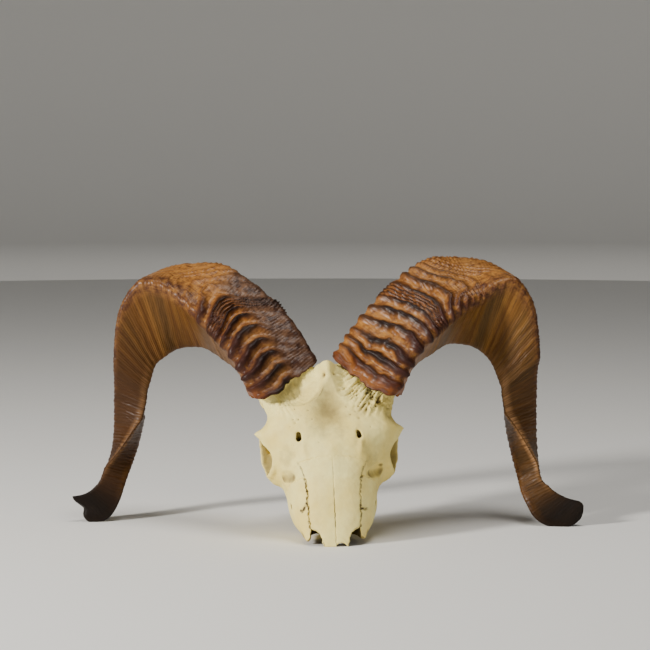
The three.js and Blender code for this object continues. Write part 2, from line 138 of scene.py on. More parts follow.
def grow(bone, axes, piece, soft):
    """Adds a piece to the bone, with a fillet of about this size."""
    shape, low, high = piece
    part, at = near(axes, low, high, soft + 3)
    if bone[part].size:
        bone[part] = soft_min(bone[part], shape(*at), soft)


def carve(bone, axes, piece, soft):
    """Takes a piece out of the bone, and rounds the edge by about this much."""
    shape, low, high = piece
    part, at = near(axes, low, high, soft + 3)
    if bone[part].size:
        bone[part] = soft_cut(bone[part], shape(*at), soft)


def ball(x, q, c, rx, rq, rc):
    def shape(px, pq, pc):
        u, v, w = (px - x) / rx, (pq - q) / rq, (pc - c) / rc
        reach = np.sqrt(u * u + v * v + w * w)
        slope = np.sqrt((u / rx) ** 2 + (v / rq) ** 2 + (w / rc) ** 2) + 1e-6
        return reach * (reach - 1) / slope

    return shape, (x - rx, q - rq, c - rc), (x + rx, q + rq, c + rc)


def rod(points, radii, side=1):
    """A bar along a line of points, as thick as the radii at each; a side of -1 mirrors it."""
    points = np.asarray(points, float) * (side, 1, 1)
    radii = np.broadcast_to(np.asarray(radii, float), (len(points),))

    def shape(px, pq, pc):
        nearest = None
        for a, b, ra, rb in zip(points, points[1:], radii, radii[1:]):
            axis = b - a
            t = ((px - a[0]) * axis[0] + (pq - a[1]) * axis[1] + (pc - a[2]) * axis[2]) / (axis @ axis)
            t = np.clip(t, 0, 1)
            gap = np.sqrt((px - a[0] - t * axis[0]) ** 2 + (pq - a[1] - t * axis[1]) ** 2
                          + (pc - a[2] - t * axis[2]) ** 2) - (ra + t * (rb - ra))
            nearest = gap if nearest is None else soft_min(nearest, gap, 1.5)
        return nearest

    return shape, (points - radii[:, None]).min(0), (points + radii[:, None]).max(0)


def trunk(rows, square):
    """A rounded block: height, half width, front and back, row by row."""
    heights = [row[0] for row in rows]

    def shape(px, pq, pc):
        half, front, back = np.moveaxis(along_rows(heights, [row[1:] for row in rows], pc), -1, 0)
        middle, reach = (front + back) / 2, (back - front) / 2
        u, v = np.abs(px) / half, np.abs(pq - middle) / reach
        ratio = (u**square + v**square) ** (1 / square)
        gap = (ratio - 1) * np.minimum(half, reach)
        return np.maximum(gap, np.maximum(heights[0] - pc, pc - heights[-1]))

    widest = max(row[1] for row in rows)
    low = (-widest, min(row[2] for row in rows), heights[0])
    return shape, low, (widest, max(row[3] for row in rows), heights[-1])


def outline_gap(corners, across, up):
    """Distance to a closed outline, negative inside it, over a flat grid."""
    u, v = np.meshgrid(across, up, indexing="ij")
    nearest, inside = np.full(u.shape, 1e9), np.zeros(u.shape, bool)
    for (au, av), (bu, bv) in zip(corners, corners[1:] + corners[:1]):
        du, dv = bu - au, bv - av
        t = np.clip(((u - au) * du + (v - av) * dv) / (du * du + dv * dv), 0, 1)
        nearest = np.minimum(nearest, np.hypot(u - au - t * du, v - av - t * dv))
        if av != bv:
            inside ^= ((av > v) != (bv > v)) & (u < (bu - au) * (v - av) / (bv - av) + au)
    return np.where(inside, -nearest, nearest).astype(np.float32)


CORNERS = [(i, j, k) for i in (0, 1) for j in (0, 1) for k in (0, 1)]
LATTICE = 32  # lumps before a random pattern repeats


def blended(values, cell, t):
    """Values between the corners of each point's cell, in a block that repeats past its edges."""
    total = 0
    for i, j, k in CORNERS:
        weight = abs(1 - i - t[:, 0]) * abs(1 - j - t[:, 1]) * abs(1 - k - t[:, 2])
        total = total + weight * values[tuple(((cell + (i, j, k)) % values.shape).T)]
    return total


def step_up(value, low, high):
    t = np.clip((value - low) / (high - low), 0, 1)
    return t * t * (3 - 2 * t)


def grain(points, size, seed):
    """Smooth random lumps of about this size, from -1 to 1."""
    lattice = np.random.default_rng(seed).uniform(-1, 1, (LATTICE,) * 3)
    at = np.asarray(points, float) / size
    cell = np.floor(at).astype(int)
    return blended(lattice, cell, step_up(at - cell, 0, 1))


# along each horn: x, y, z of its middle on the table, width seen from the front, depth,
# lean of that width, turn of the ribbed side about the horn; mm and degrees
HORN_SHIFT = np.array([0.65, -92.90, 0.0])
HORN_LEFT = [
    (-41, 81, 146, 75, 60, 151, 35), (-70, 107, 185, 75, 63, 133, 40), (-115, 132, 212, 84, 62, 107, 56),
    (-144, 146, 213, 83, 60, 94, 74), (-168, 153, 203, 82, 57, 79, 90), (-184, 158, 184, 67, 53, 63, 103),
    (-192, 162, 149, 44, 48, 40, 118), (-195, 163, 123, 34, 43, 23, 132), (-201, 161, 78, 26, 34, 2, 175),
    (-212, 154, 40, 24, 26, 15, 222), (-220, 150, 24, 29, 22, 29, 235), (-231, 146, 13.6, 34, 18, 47, 240),
    (-247, 142, 11.8, 30, 12, 59, 240),
]
HORN_RIGHT = [
    (38, 81, 149, 77, 60, 149, 37), (65, 105, 187, 72, 63, 138, 39), (112, 130, 217, 85, 62, 108, 53),
    (141, 144, 217, 86, 60, 93, 66), (165, 150, 207, 85, 57, 76, 87), (181, 153, 187, 74, 53, 60, 102),
    (189, 154, 155, 53, 48, 45, 116), (190, 153, 132, 39, 43, 30, 131), (193, 146, 86, 29, 34, 18, 175),
    (200, 135, 42, 22, 26, 23, 222), (208, 128, 27, 28, 22, 28, 235), (221, 122, 15, 36, 18, 38, 240),
    (237, 117, 10, 35, 14, 48, 240), (248, 113, 8, 20, 9, 57, 240),
]
HORN_SIDES = {"left": (HORN_LEFT, -1), "right": (HORN_RIGHT, 1)}
SECTION_FACES = [(0, 1), (-120, 0.98), (120, 1.02)]  # ribbed, inner and rear side: turn, distance
RIM_FRONT, RIM_SIDE = 0.3, 0.12  # the rim reaches down in front and on the outer side
# bows of the rim across the ribbed side and at its front corner: mm down, middle, half width in degrees
RIM_BOWS = {"left": [(4, 10, 80), (6, -42, 28), (-8, -105, 50), (-14, 175, 60)],
            "right": [(6.5, 10, 80), (3.5, -38, 28), (-7, -105, 50), (-13, 175, 60)]}


def rim_sag(side_name, turn):
    total = 0
    for drop, at, reach in RIM_BOWS[side_name]:
        away = np.abs((np.degrees(turn) + 540 - at) % 360 - 180)
        total = total + drop * np.cos(np.minimum(away / reach, 1) * math.pi / 2)
    return total


def section_radius(turn):
    total = 0
    for at, distance in SECTION_FACES:
        total = total + (np.maximum(np.cos(turn - math.radians(at)), 0) / distance) ** 5
    return total ** (-1 / 5)


def horn_stations(side_name, t):
    """Middle, directions and section extents of a horn at shares t of its length."""
    stations, side = HORN_SIDES[side_name]
    keys = np.linspace(0, 1, len(stations))
    row = along_rows(keys, stations, t)
    ahead = along_rows(keys, stations, np.minimum(t + 0.01, 1))
    behind = along_rows(keys, stations, np.maximum(t - 0.01, 0))
    along = ahead[:, :3] - behind[:, :3]
    along /= np.linalg.norm(along, axis=1)[:, None]
    lean = np.radians(row[:, 5])
    outer = np.stack([side * np.cos(lean), 0 * lean, np.sin(lean)], 1)
    towards = np.cross(along, outer)
    towards /= np.linalg.norm(towards, axis=1)[:, None]
    towards[towards[:, 1] > 0] *= -1
    full = np.linspace(0, 2 * math.pi, 181)
    seen = full + np.radians(row[:, 6])[:, None]
    wide, deep = section_radius(full) * np.sin(seen), section_radius(full) * np.cos(seen)
    extents = np.stack([wide.min(1), wide.max(1), deep.min(1), deep.max(1)], 1)
    return row[:, :3] + HORN_SHIFT, along, outer, towards, row[:, 3:], extents


def horn_reach(side_name, points, last):
    """For points by a horn's root: share of the section's radius, turn, and height above the rim."""
    samples = horn_stations(side_name, np.linspace(0, last, 24))
    middle = samples[0]
    best, index = np.full(len(points), 1e9), np.zeros(len(points), int)
    for i, at in enumerate(middle):
        gap = ((points - at) ** 2).sum(1)
        index[gap < best] = i
        best = np.minimum(best, gap)
    centre, along, outer, towards, sizes, extents = [part[index] for part in samples]
    offset = points - centre
    height = (offset * along).sum(1)
    flat = offset - height[:, None] * along
    wide, deep = (flat * outer).sum(1), (flat * towards).sum(1)
    u = wide / sizes[:, 0] * (extents[:, 1] - extents[:, 0]) + (extents[:, 0] + extents[:, 1]) / 2
    v = deep / sizes[:, 1] * (extents[:, 3] - extents[:, 2]) + (extents[:, 2] + extents[:, 3]) / 2
    turn = np.arctan2(u, v) - np.radians(sizes[:, 3])
    ratio = np.hypot(u, v) / section_radius(turn)
    rim = RIM_SIDE * wide - RIM_FRONT * deep - rim_sag(side_name, turn)
    from_root = np.where(index == 0, height, np.maximum(height, 0) + 3 * index)
    return ratio, turn, from_root - rim, height + 3 * index


SHEATH_INSET = 26  # about half a horn's section at its root, mm
CORE_WIDTH = 0.79  # of the sheath's section
CORE_RISE = 12  # the core reaches this far into the sheath, mm
# how much of the sheath's section the bone fills in front, at these distances from the rim, mm
NECK_HEIGHTS = [-30, -24, -19, -13, -6, 0]
NECK_SHARES = {"left": [1.9, 1.35, 0.98, 0.88, 0.86, 0.88], "right": [1.9, 1.30, 1.08, 1.0, 0.95, 0.93]}
NECK_STEEPER = {"left": 0.2, "right": 1.3}  # the bone climbs nearer to the crest, this much faster
CREST_HALF = 4.5  # half width of the bone that stays between the two sheaths, mm


def beyond_neck(side_name, ratio, turn, height, x, q):
    """Negative in the room round a horn's neck that the forehead leaves free."""
    behind = step_up(np.abs(np.degrees(turn) + 5), 70, 100)
    if side_name == "left":
        behind = behind + 0.2 * step_up(-np.degrees(turn), 28, 48)
    steeper = 1 + NECK_STEEPER[side_name] * step_up(np.degrees(turn), 5, 45)
    share = np.interp(height * steeper, NECK_HEIGHTS, NECK_SHARES[side_name]) + 2 * behind
    crest = CREST_HALF + 0.35 * np.maximum(q - 2, 0) - np.abs(x)
    return np.maximum.reduce([(share - ratio) * SHEATH_INSET, NECK_HEIGHTS[0] - height, crest])


BRAINCASE = ball(0, 66, 141, 40, 47, 44)
SKULL_BASE = trunk([(84, 10, 62, 98), (96, 12, 60, 104), (112, 15, 58, 110), (130, 18, 60, 114),
                    (150, 20, 64, 116), (164, 18, 70, 112)], 4)
NUCHAL_CREST = rod([(-42, 84, 146), (-38, 80, 166), (-24, 74, 180), (0, 72, 185), (24, 74, 180),
                    (38, 80, 166), (42, 84, 146)], 3.6)
FORAMEN_MAGNUM = rod([(0, 86, 158), (0, 135, 186)], 9.5)
CHOANA = trunk([(78, 9, 80, 90), (90, 10.5, 74, 96), (106, 10, 88, 106), (118, 7, 100, 122)], 3)
NOSE_HOLLOW = trunk([(-6, 24, -12, 17), (8, 23.5, -14, 21), (18, 23, -16, 36), (30, 23.5, -18, 50),
                     (50, 23.5, -20, 60), (68, 20, -20, 66), (82, 10, -4, 62)], 5)
PALATE = trunk([(20, 24, 60, 80), (30, 21, 55, 84), (60, 21, 70, 100), (88, 21, 86, 112)], 3)
ORBIT = (58.5, 38, 98)
ORBIT_RADIUS = 19
FORAMINA = {-1: -30.0, 1: 26.1}  # x of the openings above the eyes
SPUR = {-1: (-72, 18, 114.6), 1: (70, 18, 114.4)}  # tips over the eye sockets
LIP_SCOOP = ball(-36, -4, 162, 31, 23, 27)  # the hollow under the left sheath's rim
FLANK_SCOOP = ball(42, -8, 172, 26, 24, 26)  # and a slighter one that leads up to the right core
PIT_LINES = {-1: [(-38, 2.4, 68.5), (-43, 9, 69), (-47.5, 19, 70.5)],
             1: [(36, 0.5, 69), (41.5, 6.5, 71), (47, 17, 74)]}
LACRIMAL_PITS = {-1: rod(PIT_LINES[-1], [3.5, 5, 5]), 1: rod(PIT_LINES[1], [4, 6.5, 6])}
# painted shade with some brown staining inside the pits by the eyes
PIT_SHADE_AND_STAIN = {side: rod([(x, q + 4.5, c) for x, q, c in line], 3) for side, line in PIT_LINES.items()}
# a painted shadow line along the front inner wall of each eye socket; nothing is cut there
ORBIT_SHADOW_LINE = {side: rod([(50, 24, 99), (48.5, 22, 93), (46.5, 21.5, 88), (46.5, 20, 81)],
                         [1.2, 1.9, 1.4, 1.8], side) for side in (-1, 1)}
ORBIT_END = {side: ball(side * 44, 30, 99, 13, 9, 11) for side in (-1, 1)}


def orbit_room(side, half):
    return ball(side * ORBIT[0], ORBIT[1], ORBIT[2], half, ORBIT_RADIUS, ORBIT_RADIUS)


def orbit_rim(side):
    ring = []
    for turn in np.linspace(0, 2 * math.pi, 19):
        back = math.cos(turn)
        x = 60.5 + 3 * math.sin(turn) + 1.5 * back - 7 * max(-back, 0) ** 2
        reach = ORBIT_RADIUS + 1
        ring.append((side * x, ORBIT[1] + reach * back, ORBIT[2] + reach * math.sin(turn)))
    return rod(ring, 3.1)


def face_form(axes):
    """The long face and forehead: rounded sections stacked up along the face line."""
    x, q, c = spread(axes)
    sizes = along_rows(FACE_HEIGHTS, FACE_SIZES, axes[2]).astype(np.float32)
    half, front, widest, back, square = [sizes[:, i].reshape(1, 1, -1) for i in range(5)]
    reach = np.where(q < widest, widest - front, back - widest)
    u, v = np.abs(x) / half + 1e-4, np.abs(q - widest) / reach + 1e-4
    ratio = (u**square + v**square) ** (1 / square)
    slope = np.sqrt((u ** (square - 1) / half) ** 2 + (v ** (square - 1) / reach) ** 2)
    slope = slope * ratio ** (1 - square)
    gap = (ratio - 1) / np.maximum(slope, 0.012)
    return np.maximum(gap, np.maximum(FACE_LOW - c, c - FACE_HIGH)).astype(np.float32)


def skull_form(axes):
    """Distance to the skin of the whole skull without its horns, negative inside the bone."""
    bone = face_form(axes)

    def add(piece, soft):
        grow(bone, axes, piece, soft)

    def cut(piece, soft):
        carve(bone, axes, piece, soft)

    add(BRAINCASE, 8)
    add(SKULL_BASE, 5)
    for side in (-1, 1):
        add(ball(side * 49, 46, 80, 11, 17, 10), 6)
        tip = SPUR[side]
        add(rod([(side * 56, 22, 116), (tip[0] * 0.93, 19, 114.5), tip], [7, 3.2, 0.7]), 5)
        add(orbit_rim(side), 3)
        add(rod([(41, 33, 79), (53, 46, 84), (60, 57, 94), (61.5, 66, 107), (59, 75, 120), (49, 82, 131),
                 (34, 85, 137)], [7.5, 6, 5.0, 4.8, 4.6, 5, 6], side), 3)
    for side in (-1, 1):
        cut(orbit_room(side, 21), 1.5)
        cut(ORBIT_END[side], 2)
        cut(rod([(30, 62, 96), (46, 74, 104)], 5, side), 3)
        add(ball(side * 46, 63, 102, 12, 7, 15), 4)
    for side in (-1, 1):
        add(rod([(13, 92, 84), (13.5, 108, 92), (14, 116, 104), (15, 112, 124)], 3, side), 2)
        add(ball(side * 19, 112, 137, 9, 9, 13), 2)
        add(ball(side * 15, 115, 160, 10.5, 11, 12), 2)
        add(rod([(27, 100, 152), (27, 122, 146), (26, 133, 140)], [6.5, 4.6, 2.8], side), 3)
        add(rod([(34, 88, 133), (41, 92, 136)], [6, 4.5], side), 2)
        cut(rod([(36, 96, 136), (46, 98, 138)], 2.4, side), 1)
    add(NUCHAL_CREST, 3)
    cut(NOSE_HOLLOW, 1.5)
    cut(PALATE, 2)
    cut(CHOANA, 1.5)
    cut(FORAMEN_MAGNUM, 1.5)
    for side in (-1, 1):
        cut(LACRIMAL_PITS[side], 3.5)
        x = FORAMINA[side]
        for depth in (-12, -8, -4, 0):
            ends = [(x - 0.5 - side * 0.3, depth, 107.8), (x + 0.2 + side * 0.3, depth, 103.4)]
            cut(rod(ends, [2.3, 2.9]), 0.8)
        cut(rod([(x, 0, 105), (x - side * 2, 18, 100)], [2.3, 2]), 0.8)
        cut(rod([(x, -11.5, 102), (x - side * 2, -13.6, 92), (x - side * 4, -14.6, 84)], [3, 2.6, 2.2]), 2.5)
        cut(rod([(44, 20, 42), (30, 24, 48)], 2.6, side), 1)
    return bone


def table_gap(axes):
    x, q, c = spread(axes)
    return -(x * SKULL_TURN[0, 2] + q * SKULL_TURN[1, 2] + c * SKULL_TURN[2, 2]).astype(np.float32)


# side view of the bones of the face, below the suture with the bones of the eye socket
FACIAL_OUTLINE = [(-40, 67), (10, 65), (40, 57), (58, 60), (66, 76), (72, 94), (140, 104), (140, -30),
                  (-40, -30)]
NASAL_HEIGHTS = [-2, 8, 15.5, 18.5, 36, 58, 72, 80, 84.5]
NASAL_HALVES = [(9.8,), (13.3,), (17,), (22.6,), (24,), (25,), (28,), (32.5,), (35,)]
NASAL_LENGTH = 84.5
NASAL_THICK = 3.4


def facial_gap(axes):
    """Distance to the edge of the facial bones, negative within them; the suture wanders a little."""
    gap = outline_gap(FACIAL_OUTLINE, axes[1], axes[2])[None]
    x, q, _ = spread(axes)
    return gap + (0.35 * np.sin(x * 0.9) + 0.3 * np.sin(x * 0.37 + 1) + 0.3 * np.sin(q * 0.8))


def nasal_gap(axes):
    """Distance to the room that the two nasal bones take in the roof of the nose."""
    x, q, c = spread(axes)
    half = along_rows(NASAL_HEIGHTS, NASAL_HALVES, axes[2])[:, 0].astype(np.float32).reshape(1, 1, -1)
    half = half + 0.6 * np.sin(c * 0.47) + 0.35 * np.sin(c * 1.25 + 1) + 0.22 * np.sin(c * 2.7)
    depth = face_depth(axes[0].reshape(-1, 1), axes[2].reshape(1, -1)).astype(np.float32)[:, None, :]
    top = NASAL_LENGTH - 0.004 * x * x - 0.4 * np.sin(x * 1.1)
    return np.maximum(np.maximum(np.abs(x) - half, c - top), q - depth - NASAL_THICK)


def sample(field, axes, points):
    """Field value at free points of its grid."""
    at = np.stack([(points[:, i] - axis[0]) / (axis[1] - axis[0]) for i, axis in enumerate(axes)], 1)
    cell = np.clip(at.astype(int), 0, np.array(field.shape) - 2)
    return blended(field, cell, np.clip(at - cell, 0, 1))


def skin_of(field, axes):
    """Closed mesh of four-sided faces round everything where the field is negative."""
    inside = field < 0
    shape = tuple(n - 1 for n in field.shape)
    count = np.zeros(shape, np.int8)
    for i, j, k in CORNERS:
        count += inside[i:i + shape[0], j:j + shape[1], k:k + shape[2]]
    mixed = (count > 0) & (count < 8)
    cells = np.argwhere(mixed)
    number = np.full(shape, -1, np.int64)
    number[mixed] = np.arange(len(cells))
    total, hits = np.zeros((len(cells), 3)), np.zeros(len(cells))
    for a in CORNERS:
        for axis in range(3):
            if a[axis]:
                continue
            b = tuple(a[i] + (i == axis) for i in range(3))
            fa, fb = field[tuple((cells + a).T)], field[tuple((cells + b).T)]
            cross = (fa < 0) != (fb < 0)
            t = np.where(cross, fa / np.where(cross, fa - fb, 1), 0)
            point = np.tile(np.array(a, float), (len(cells), 1))
            point[:, axis] += t
            total[cross] += point[cross]
            hits += cross
    step = axes[0][1] - axes[0][0]
    points = (cells + total / hits[:, None]) * step + np.array([axis[0] for axis in axes])
    faces = []
    for axis in range(3):
        u, v = np.eye(3, dtype=int)[(axis + 1) % 3], np.eye(3, dtype=int)[(axis + 2) % 3]
        span = [slice(1, -1)] * 3
        span[axis] = slice(0, -1)
        after = list(span)
        after[axis] = slice(1, None)
        a, b = inside[tuple(span)], inside[tuple(after)]
        offset = np.array([1, 1, 1]) - np.eye(3, dtype=int)[axis]
        for leaving in (True, False):
            at = np.argwhere(a & ~b if leaving else ~a & b) + offset
            ring = [number[tuple((at - u - v).T)], number[tuple((at - v).T)], number[tuple(at.T)],
                    number[tuple((at - u).T)]]
            faces.append(np.stack(ring if leaving else ring[::-1], 1))
    faces = np.concatenate(faces)
    return main_body(points, faces[(faces >= 0).all(1)])


def main_body(points, faces):
    """The largest joined body, without crumbs left by a cut."""
    label = np.arange(len(points))
    while True:
        lowest = label[faces].min(1)
        new = label.copy()
        np.minimum.at(new, faces.ravel(), np.repeat(lowest, 4))
        new = new[new]
        if (new == label).all():
            break
        label = new
    keep = label == np.bincount(label[faces[:, 0]]).argmax()
    renumber = np.cumsum(keep) - 1
    return points[keep], renumber[faces[keep[faces[:, 0]]]]


def outward(field, axes, points):
    step = 0.7
    slope = np.stack([sample(field, axes, points + d) - sample(field, axes, points - d)
                      for d in np.eye(3) * step], 1)
    return slope / np.maximum(np.linalg.norm(slope, axis=1), 1e-6)[:, None]


def openness(field, axes, points, normals):
    """1 in the open, towards 0 deep in a hollow."""
    total = 0
    for reach in (3, 8, 16):
        total = total + np.clip(sample(field, axes, points + normals * reach) / reach, 0, 1)
    return total / 3


def new_object(name, data):
    thing = bpy.data.objects.new(name, data)
    bpy.context.scene.collection.objects.link(thing)
    return thing


def make_mesh(name, points, faces, caps=(), **marks):
    """A mesh from points in mm on the table, four-sided faces and any triangles in caps."""
    caps = np.asarray(caps, np.int32).reshape(-1, 3)
    corners = np.concatenate([faces.ravel(), caps.ravel()]).astype(np.int32)
    starts = np.concatenate([np.arange(len(faces)) * 4, faces.size + np.arange(len(caps)) * 3])
    mesh = bpy.data.meshes.new(name)
    mesh.vertices.add(len(points))
    mesh.vertices.foreach_set("co", np.asarray(points * MM, np.float32).ravel())
    mesh.loops.add(len(corners))
    mesh.loops.foreach_set("vertex_index", corners)
    mesh.polygons.add(len(starts))
    mesh.polygons.foreach_set("loop_start", starts.astype(np.int32))
    mesh.update(calc_edges=True)
    mesh.polygons.foreach_set("use_smooth", np.full(len(starts), True))
    for mark, values in marks.items():
        layer = mesh.attributes.new(mark, "FLOAT", "POINT")
        layer.data.foreach_set("value", np.asarray(values, np.float32))
    mesh.validate()
    return new_object(name, mesh)


class Value:
    """A number, place or colour that a node tree works out, with the usual signs for sums."""

    def __init__(self, tree, socket):
        self.tree, self.socket = tree, socket

    def __add__(self, other):
        return math_node(self.tree, "ADD", self, other)

    def __sub__(self, other):
        return math_node(self.tree, "SUBTRACT", self, other)

    def __rsub__(self, other):
        return math_node(self.tree, "SUBTRACT", other, self)

    def __mul__(self, other):
        return math_node(self.tree, "MULTIPLY", self, other)

    def __truediv__(self, other):
        return math_node(self.tree, "DIVIDE", self, other)

    __radd__, __rmul__ = __add__, __mul__


def feed(tree, socket, value):
    """Gives a socket a wire, a colour or a number."""
    if isinstance(value, Value):
        tree.links.new(value.socket, socket)
    else:
        socket.default_value = (*value, 1) if isinstance(value, tuple) else value


def wire(tree, kind, inputs, outlet=0, **settings):
    """A new node with these settings and inputs, and what comes out of it."""
    node = tree.nodes.new(kind)
    for name, setting in settings.items():
        setattr(node, name, setting)
    for socket, value in inputs.items():
        feed(tree, node.inputs[socket], value)
    return Value(tree, node.outputs[outlet])


def math_node(tree, kind, *values, clamp=False):
    return wire(tree, "ShaderNodeMath", dict(enumerate(values)), operation=kind, use_clamp=clamp)


def clamped(value):
    return math_node(value.tree, "ADD", value, 0, clamp=True)


def attributes(tree, *names):
    return [wire(tree, "ShaderNodeAttribute", {}, "Fac", attribute_name=name) for name in names]


def noise(place, scale, detail, roughness=0.55):
    inputs = {"Vector": place, "Scale": scale, "Detail": detail, "Roughness": roughness}
    return wire(place.tree, "ShaderNodeTexNoise", inputs, "Fac")


def ramp(value, *stops):
    """Grey levels along a value: pairs of position and level."""
    node = value.tree.nodes.new("ShaderNodeValToRGB")
    feed(value.tree, node.inputs[0], value)
    elements = node.color_ramp.elements
    while len(elements) < len(stops):
        elements.new(0.5)
    for element, (position, level) in zip(elements, stops):
        element.position = position
        element.color = (level, level, level, 1)
    return Value(value.tree, node.outputs["Color"])


def mixed(tree, share, first, second):
    return wire(tree, "ShaderNodeMix", {0: share, 6: first, 7: second}, 2, data_type="RGBA")


def over(base, share, colour):
    return mixed(base.tree, share, base, colour)


def bump(height, distance, strength, normal=None):
    inputs = {"Height": height, "Distance": distance, "Strength": strength}
    if normal:
        inputs["Normal"] = normal
    return wire(height.tree, "ShaderNodeBump", inputs, "Normal")


def pores_group():
    """Fine holes and scratches of dry tissue: a mask and a height, at a scale set by each user."""
    group = bpy.data.node_groups.new("pores", "ShaderNodeTree")
    group.interface.new_socket("Place", in_out="INPUT", socket_type="NodeSocketVector")
    for name, value in (("Scale", 700.0), ("Amount", 0.5)):
        group.interface.new_socket(name, in_out="INPUT", socket_type="NodeSocketFloat").default_value = value
    for name in ("Mask", "Height"):
        group.interface.new_socket(name, in_out="OUTPUT", socket_type="NodeSocketFloat")
    given, end = group.nodes.new("NodeGroupInput").outputs, group.nodes.new("NodeGroupOutput")
    place, scale, amount = [Value(group, given[name]) for name in ("Place", "Scale", "Amount")]
    cells = wire(group, "ShaderNodeTexVoronoi", {"Vector": place, "Scale": scale}, "Distance")
    fine = wire(group, "ShaderNodeTexNoise", {"Vector": place, "Scale": scale * 0.35, "Detail": 5}, "Fac")
    patch = clamped((fine - (0.85 - amount * 0.5)) * 6)
    mask = clamped(clamped(1 - cells * 4.5) * patch)
    feed(group, end.inputs["Mask"], mask)
    feed(group, end.inputs["Height"], fine - mask)
    return group


PORES = pores_group()


def pores(place, scale, amount):
    node = place.tree.nodes.new("ShaderNodeGroup")
    node.node_tree = PORES
    for name, value in (("Place", place), ("Scale", scale), ("Amount", amount)):
        feed(place.tree, node.inputs[name], value)
    return [Value(place.tree, node.outputs[name]) for name in ("Mask", "Height")]


def new_material(name):
    material = bpy.data.materials.new(name)
    material.use_nodes = True
    tree = material.node_tree
    return material, tree, tree.nodes["Principled BSDF"]


IVORY = (0.87, 0.69, 0.19)
CHALK = (0.97, 0.86, 0.33)
STRAW = (0.66, 0.53, 0.22)
# olive and earth darken the bone in recesses and patches: painted shade mixed with real grime
OLIVE_SHADE_AND_DIRT = (0.26, 0.19, 0.06)
EARTH_SHADE_AND_DIRT = (0.10, 0.055, 0.02)
PORE_BROWN = (0.20, 0.13, 0.05)
SUTURE_BROWN = (0.06, 0.035, 0.015)
ENAMEL, TARTAR = (0.80, 0.70, 0.42), (0.26, 0.15, 0.05)


def bone_material(name, warmth):
    """Bleached bone: ivory with chalky patches, olive grime and painted shade in the hollows, dark sutures
    and pores.
    """
    material, tree, surface = new_material(name)
    place = wire(tree, "ShaderNodeTexCoord", {}, "Object")
    hollow, porous, sutured, tooth = attributes(tree, "hollow", "porous", "seam", "tooth")
    cloud, mottle = noise(place, 22, 5, 0.6), noise(place, 95, 6, 0.65)
    colour = mixed(tree, ramp(cloud, (0.38, 0), (0.66, 1)), IVORY, CHALK)
    colour = over(colour, ramp(mottle, (0.42, 0), (0.72, 1)) * (0.28 + warmth), STRAW)
    # painted shade with some grime: recesses and patches turn olive, the deepest ones earth brown
    shade_and_dirt = clamped(hollow + mottle * 0.5 - 0.25)
    colour = over(colour, ramp(shade_and_dirt, (0.30, 0), (0.78, 0.85)), OLIVE_SHADE_AND_DIRT)
    colour = over(colour, ramp(shade_and_dirt, (0.80, 0), (1, 0.8)), EARTH_SHADE_AND_DIRT)
    hole, rough = pores(place, 420, porous)
    colour = over(colour, hole * 0.75, PORE_BROWN)
    colour = over(colour, sutured * ramp(noise(place, 260, 3), (0.36, 0.25), (0.56, 1)), SUTURE_BROWN)
    enamel = mixed(tree, ramp(mottle, (0.4, 0), (0.62, 1)), ENAMEL, TARTAR)
    feed(tree, surface.inputs["Base Color"], over(colour, tooth, enamel))
    feed(tree, surface.inputs["Roughness"], mottle * 0.25 + 0.48 + shade_and_dirt * 0.2 - tooth * 0.3)
    fine = bump(rough, 0.0006, 0.5)
    feed(tree, surface.inputs["Normal"], bump(noise(place, 900, 3), 0.0002, 0.35, fine))
    surface.inputs["Specular IOR Level"].default_value = 0.35
    return material


def shade_and_stain_of_hollows(points):
    """How dark the hollows are painted, 0 to 1: painted shade where little light reaches, with some olive
    grime.
    """
    x, q, c = points.T
    darkening = np.zeros(len(points))
    for piece, share, blur in HOLLOW_SHADE_AND_STAIN:
        gap = piece[0](x, q, c)
        darkening = np.maximum(darkening, share * (1 - step_up(gap, 1 - blur, 1 + blur)))
    return darkening * step_up(q - face_depth(x, c), 1.2, 2.8)


# hollows whose walls get painted shade with some grime, how dark, and how soft the edge of the darkening is
# in mm
HOLLOW_SHADE_AND_STAIN = [(NOSE_HOLLOW, 0.95, 1.2), (CHOANA, 0.8, 1.5), (FORAMEN_MAGNUM, 0.85, 1.5), (PALATE, 0.35, 2),
           (LIP_SCOOP, 0.62, 6)]
for side in (-1, 1):
    HOLLOW_SHADE_AND_STAIN += [(orbit_room(side, 20), 0.76, 1.6), (PIT_SHADE_AND_STAIN[side], 0.95, 3.2), (ORBIT_END[side], 0.8, 2),
                (ORBIT_SHADOW_LINE[side], 0.98, 1.4)]
# patches of the face darkened with painted shade and olive grime: x, c, half sizes and how dark
PATCH_SHADE_AND_STAIN = [(-2, 118, 25, 26, 0.62), (1, 142, 17, 22, 0.42), (-43, 88, 11, 14, 0.52), (37, 82, 12, 15, 0.52),
         (-30, 152, 22, 14, 0.85), (32, 128, 9, 9, 0.4), (2, 172, 12, 9, 0.22), (30, 96, 7, 8, 0.25),
         (-28, 100, 6, 9, 0.22), (46, 138, 14, 9, 0.30)]


def dome(x, c, at_x, at_c, half_x, half_c):
    """A smooth round swell over the face, 1 at its top."""
    return np.exp(-(((x - at_x) / half_x) ** 2 + ((c - at_c) / half_c) ** 2))


def shade_and_stain_of_patches(points):
    x, q, c = points.T
    total = 0
    for *patch, share in PATCH_SHADE_AND_STAIN:
        total = total + share * dome(x, c, *patch)
    return total * (0.88 + 0.22 * grain(points, 12, 45)) * (1 - step_up(q - face_depth(x, c), 4, 14))


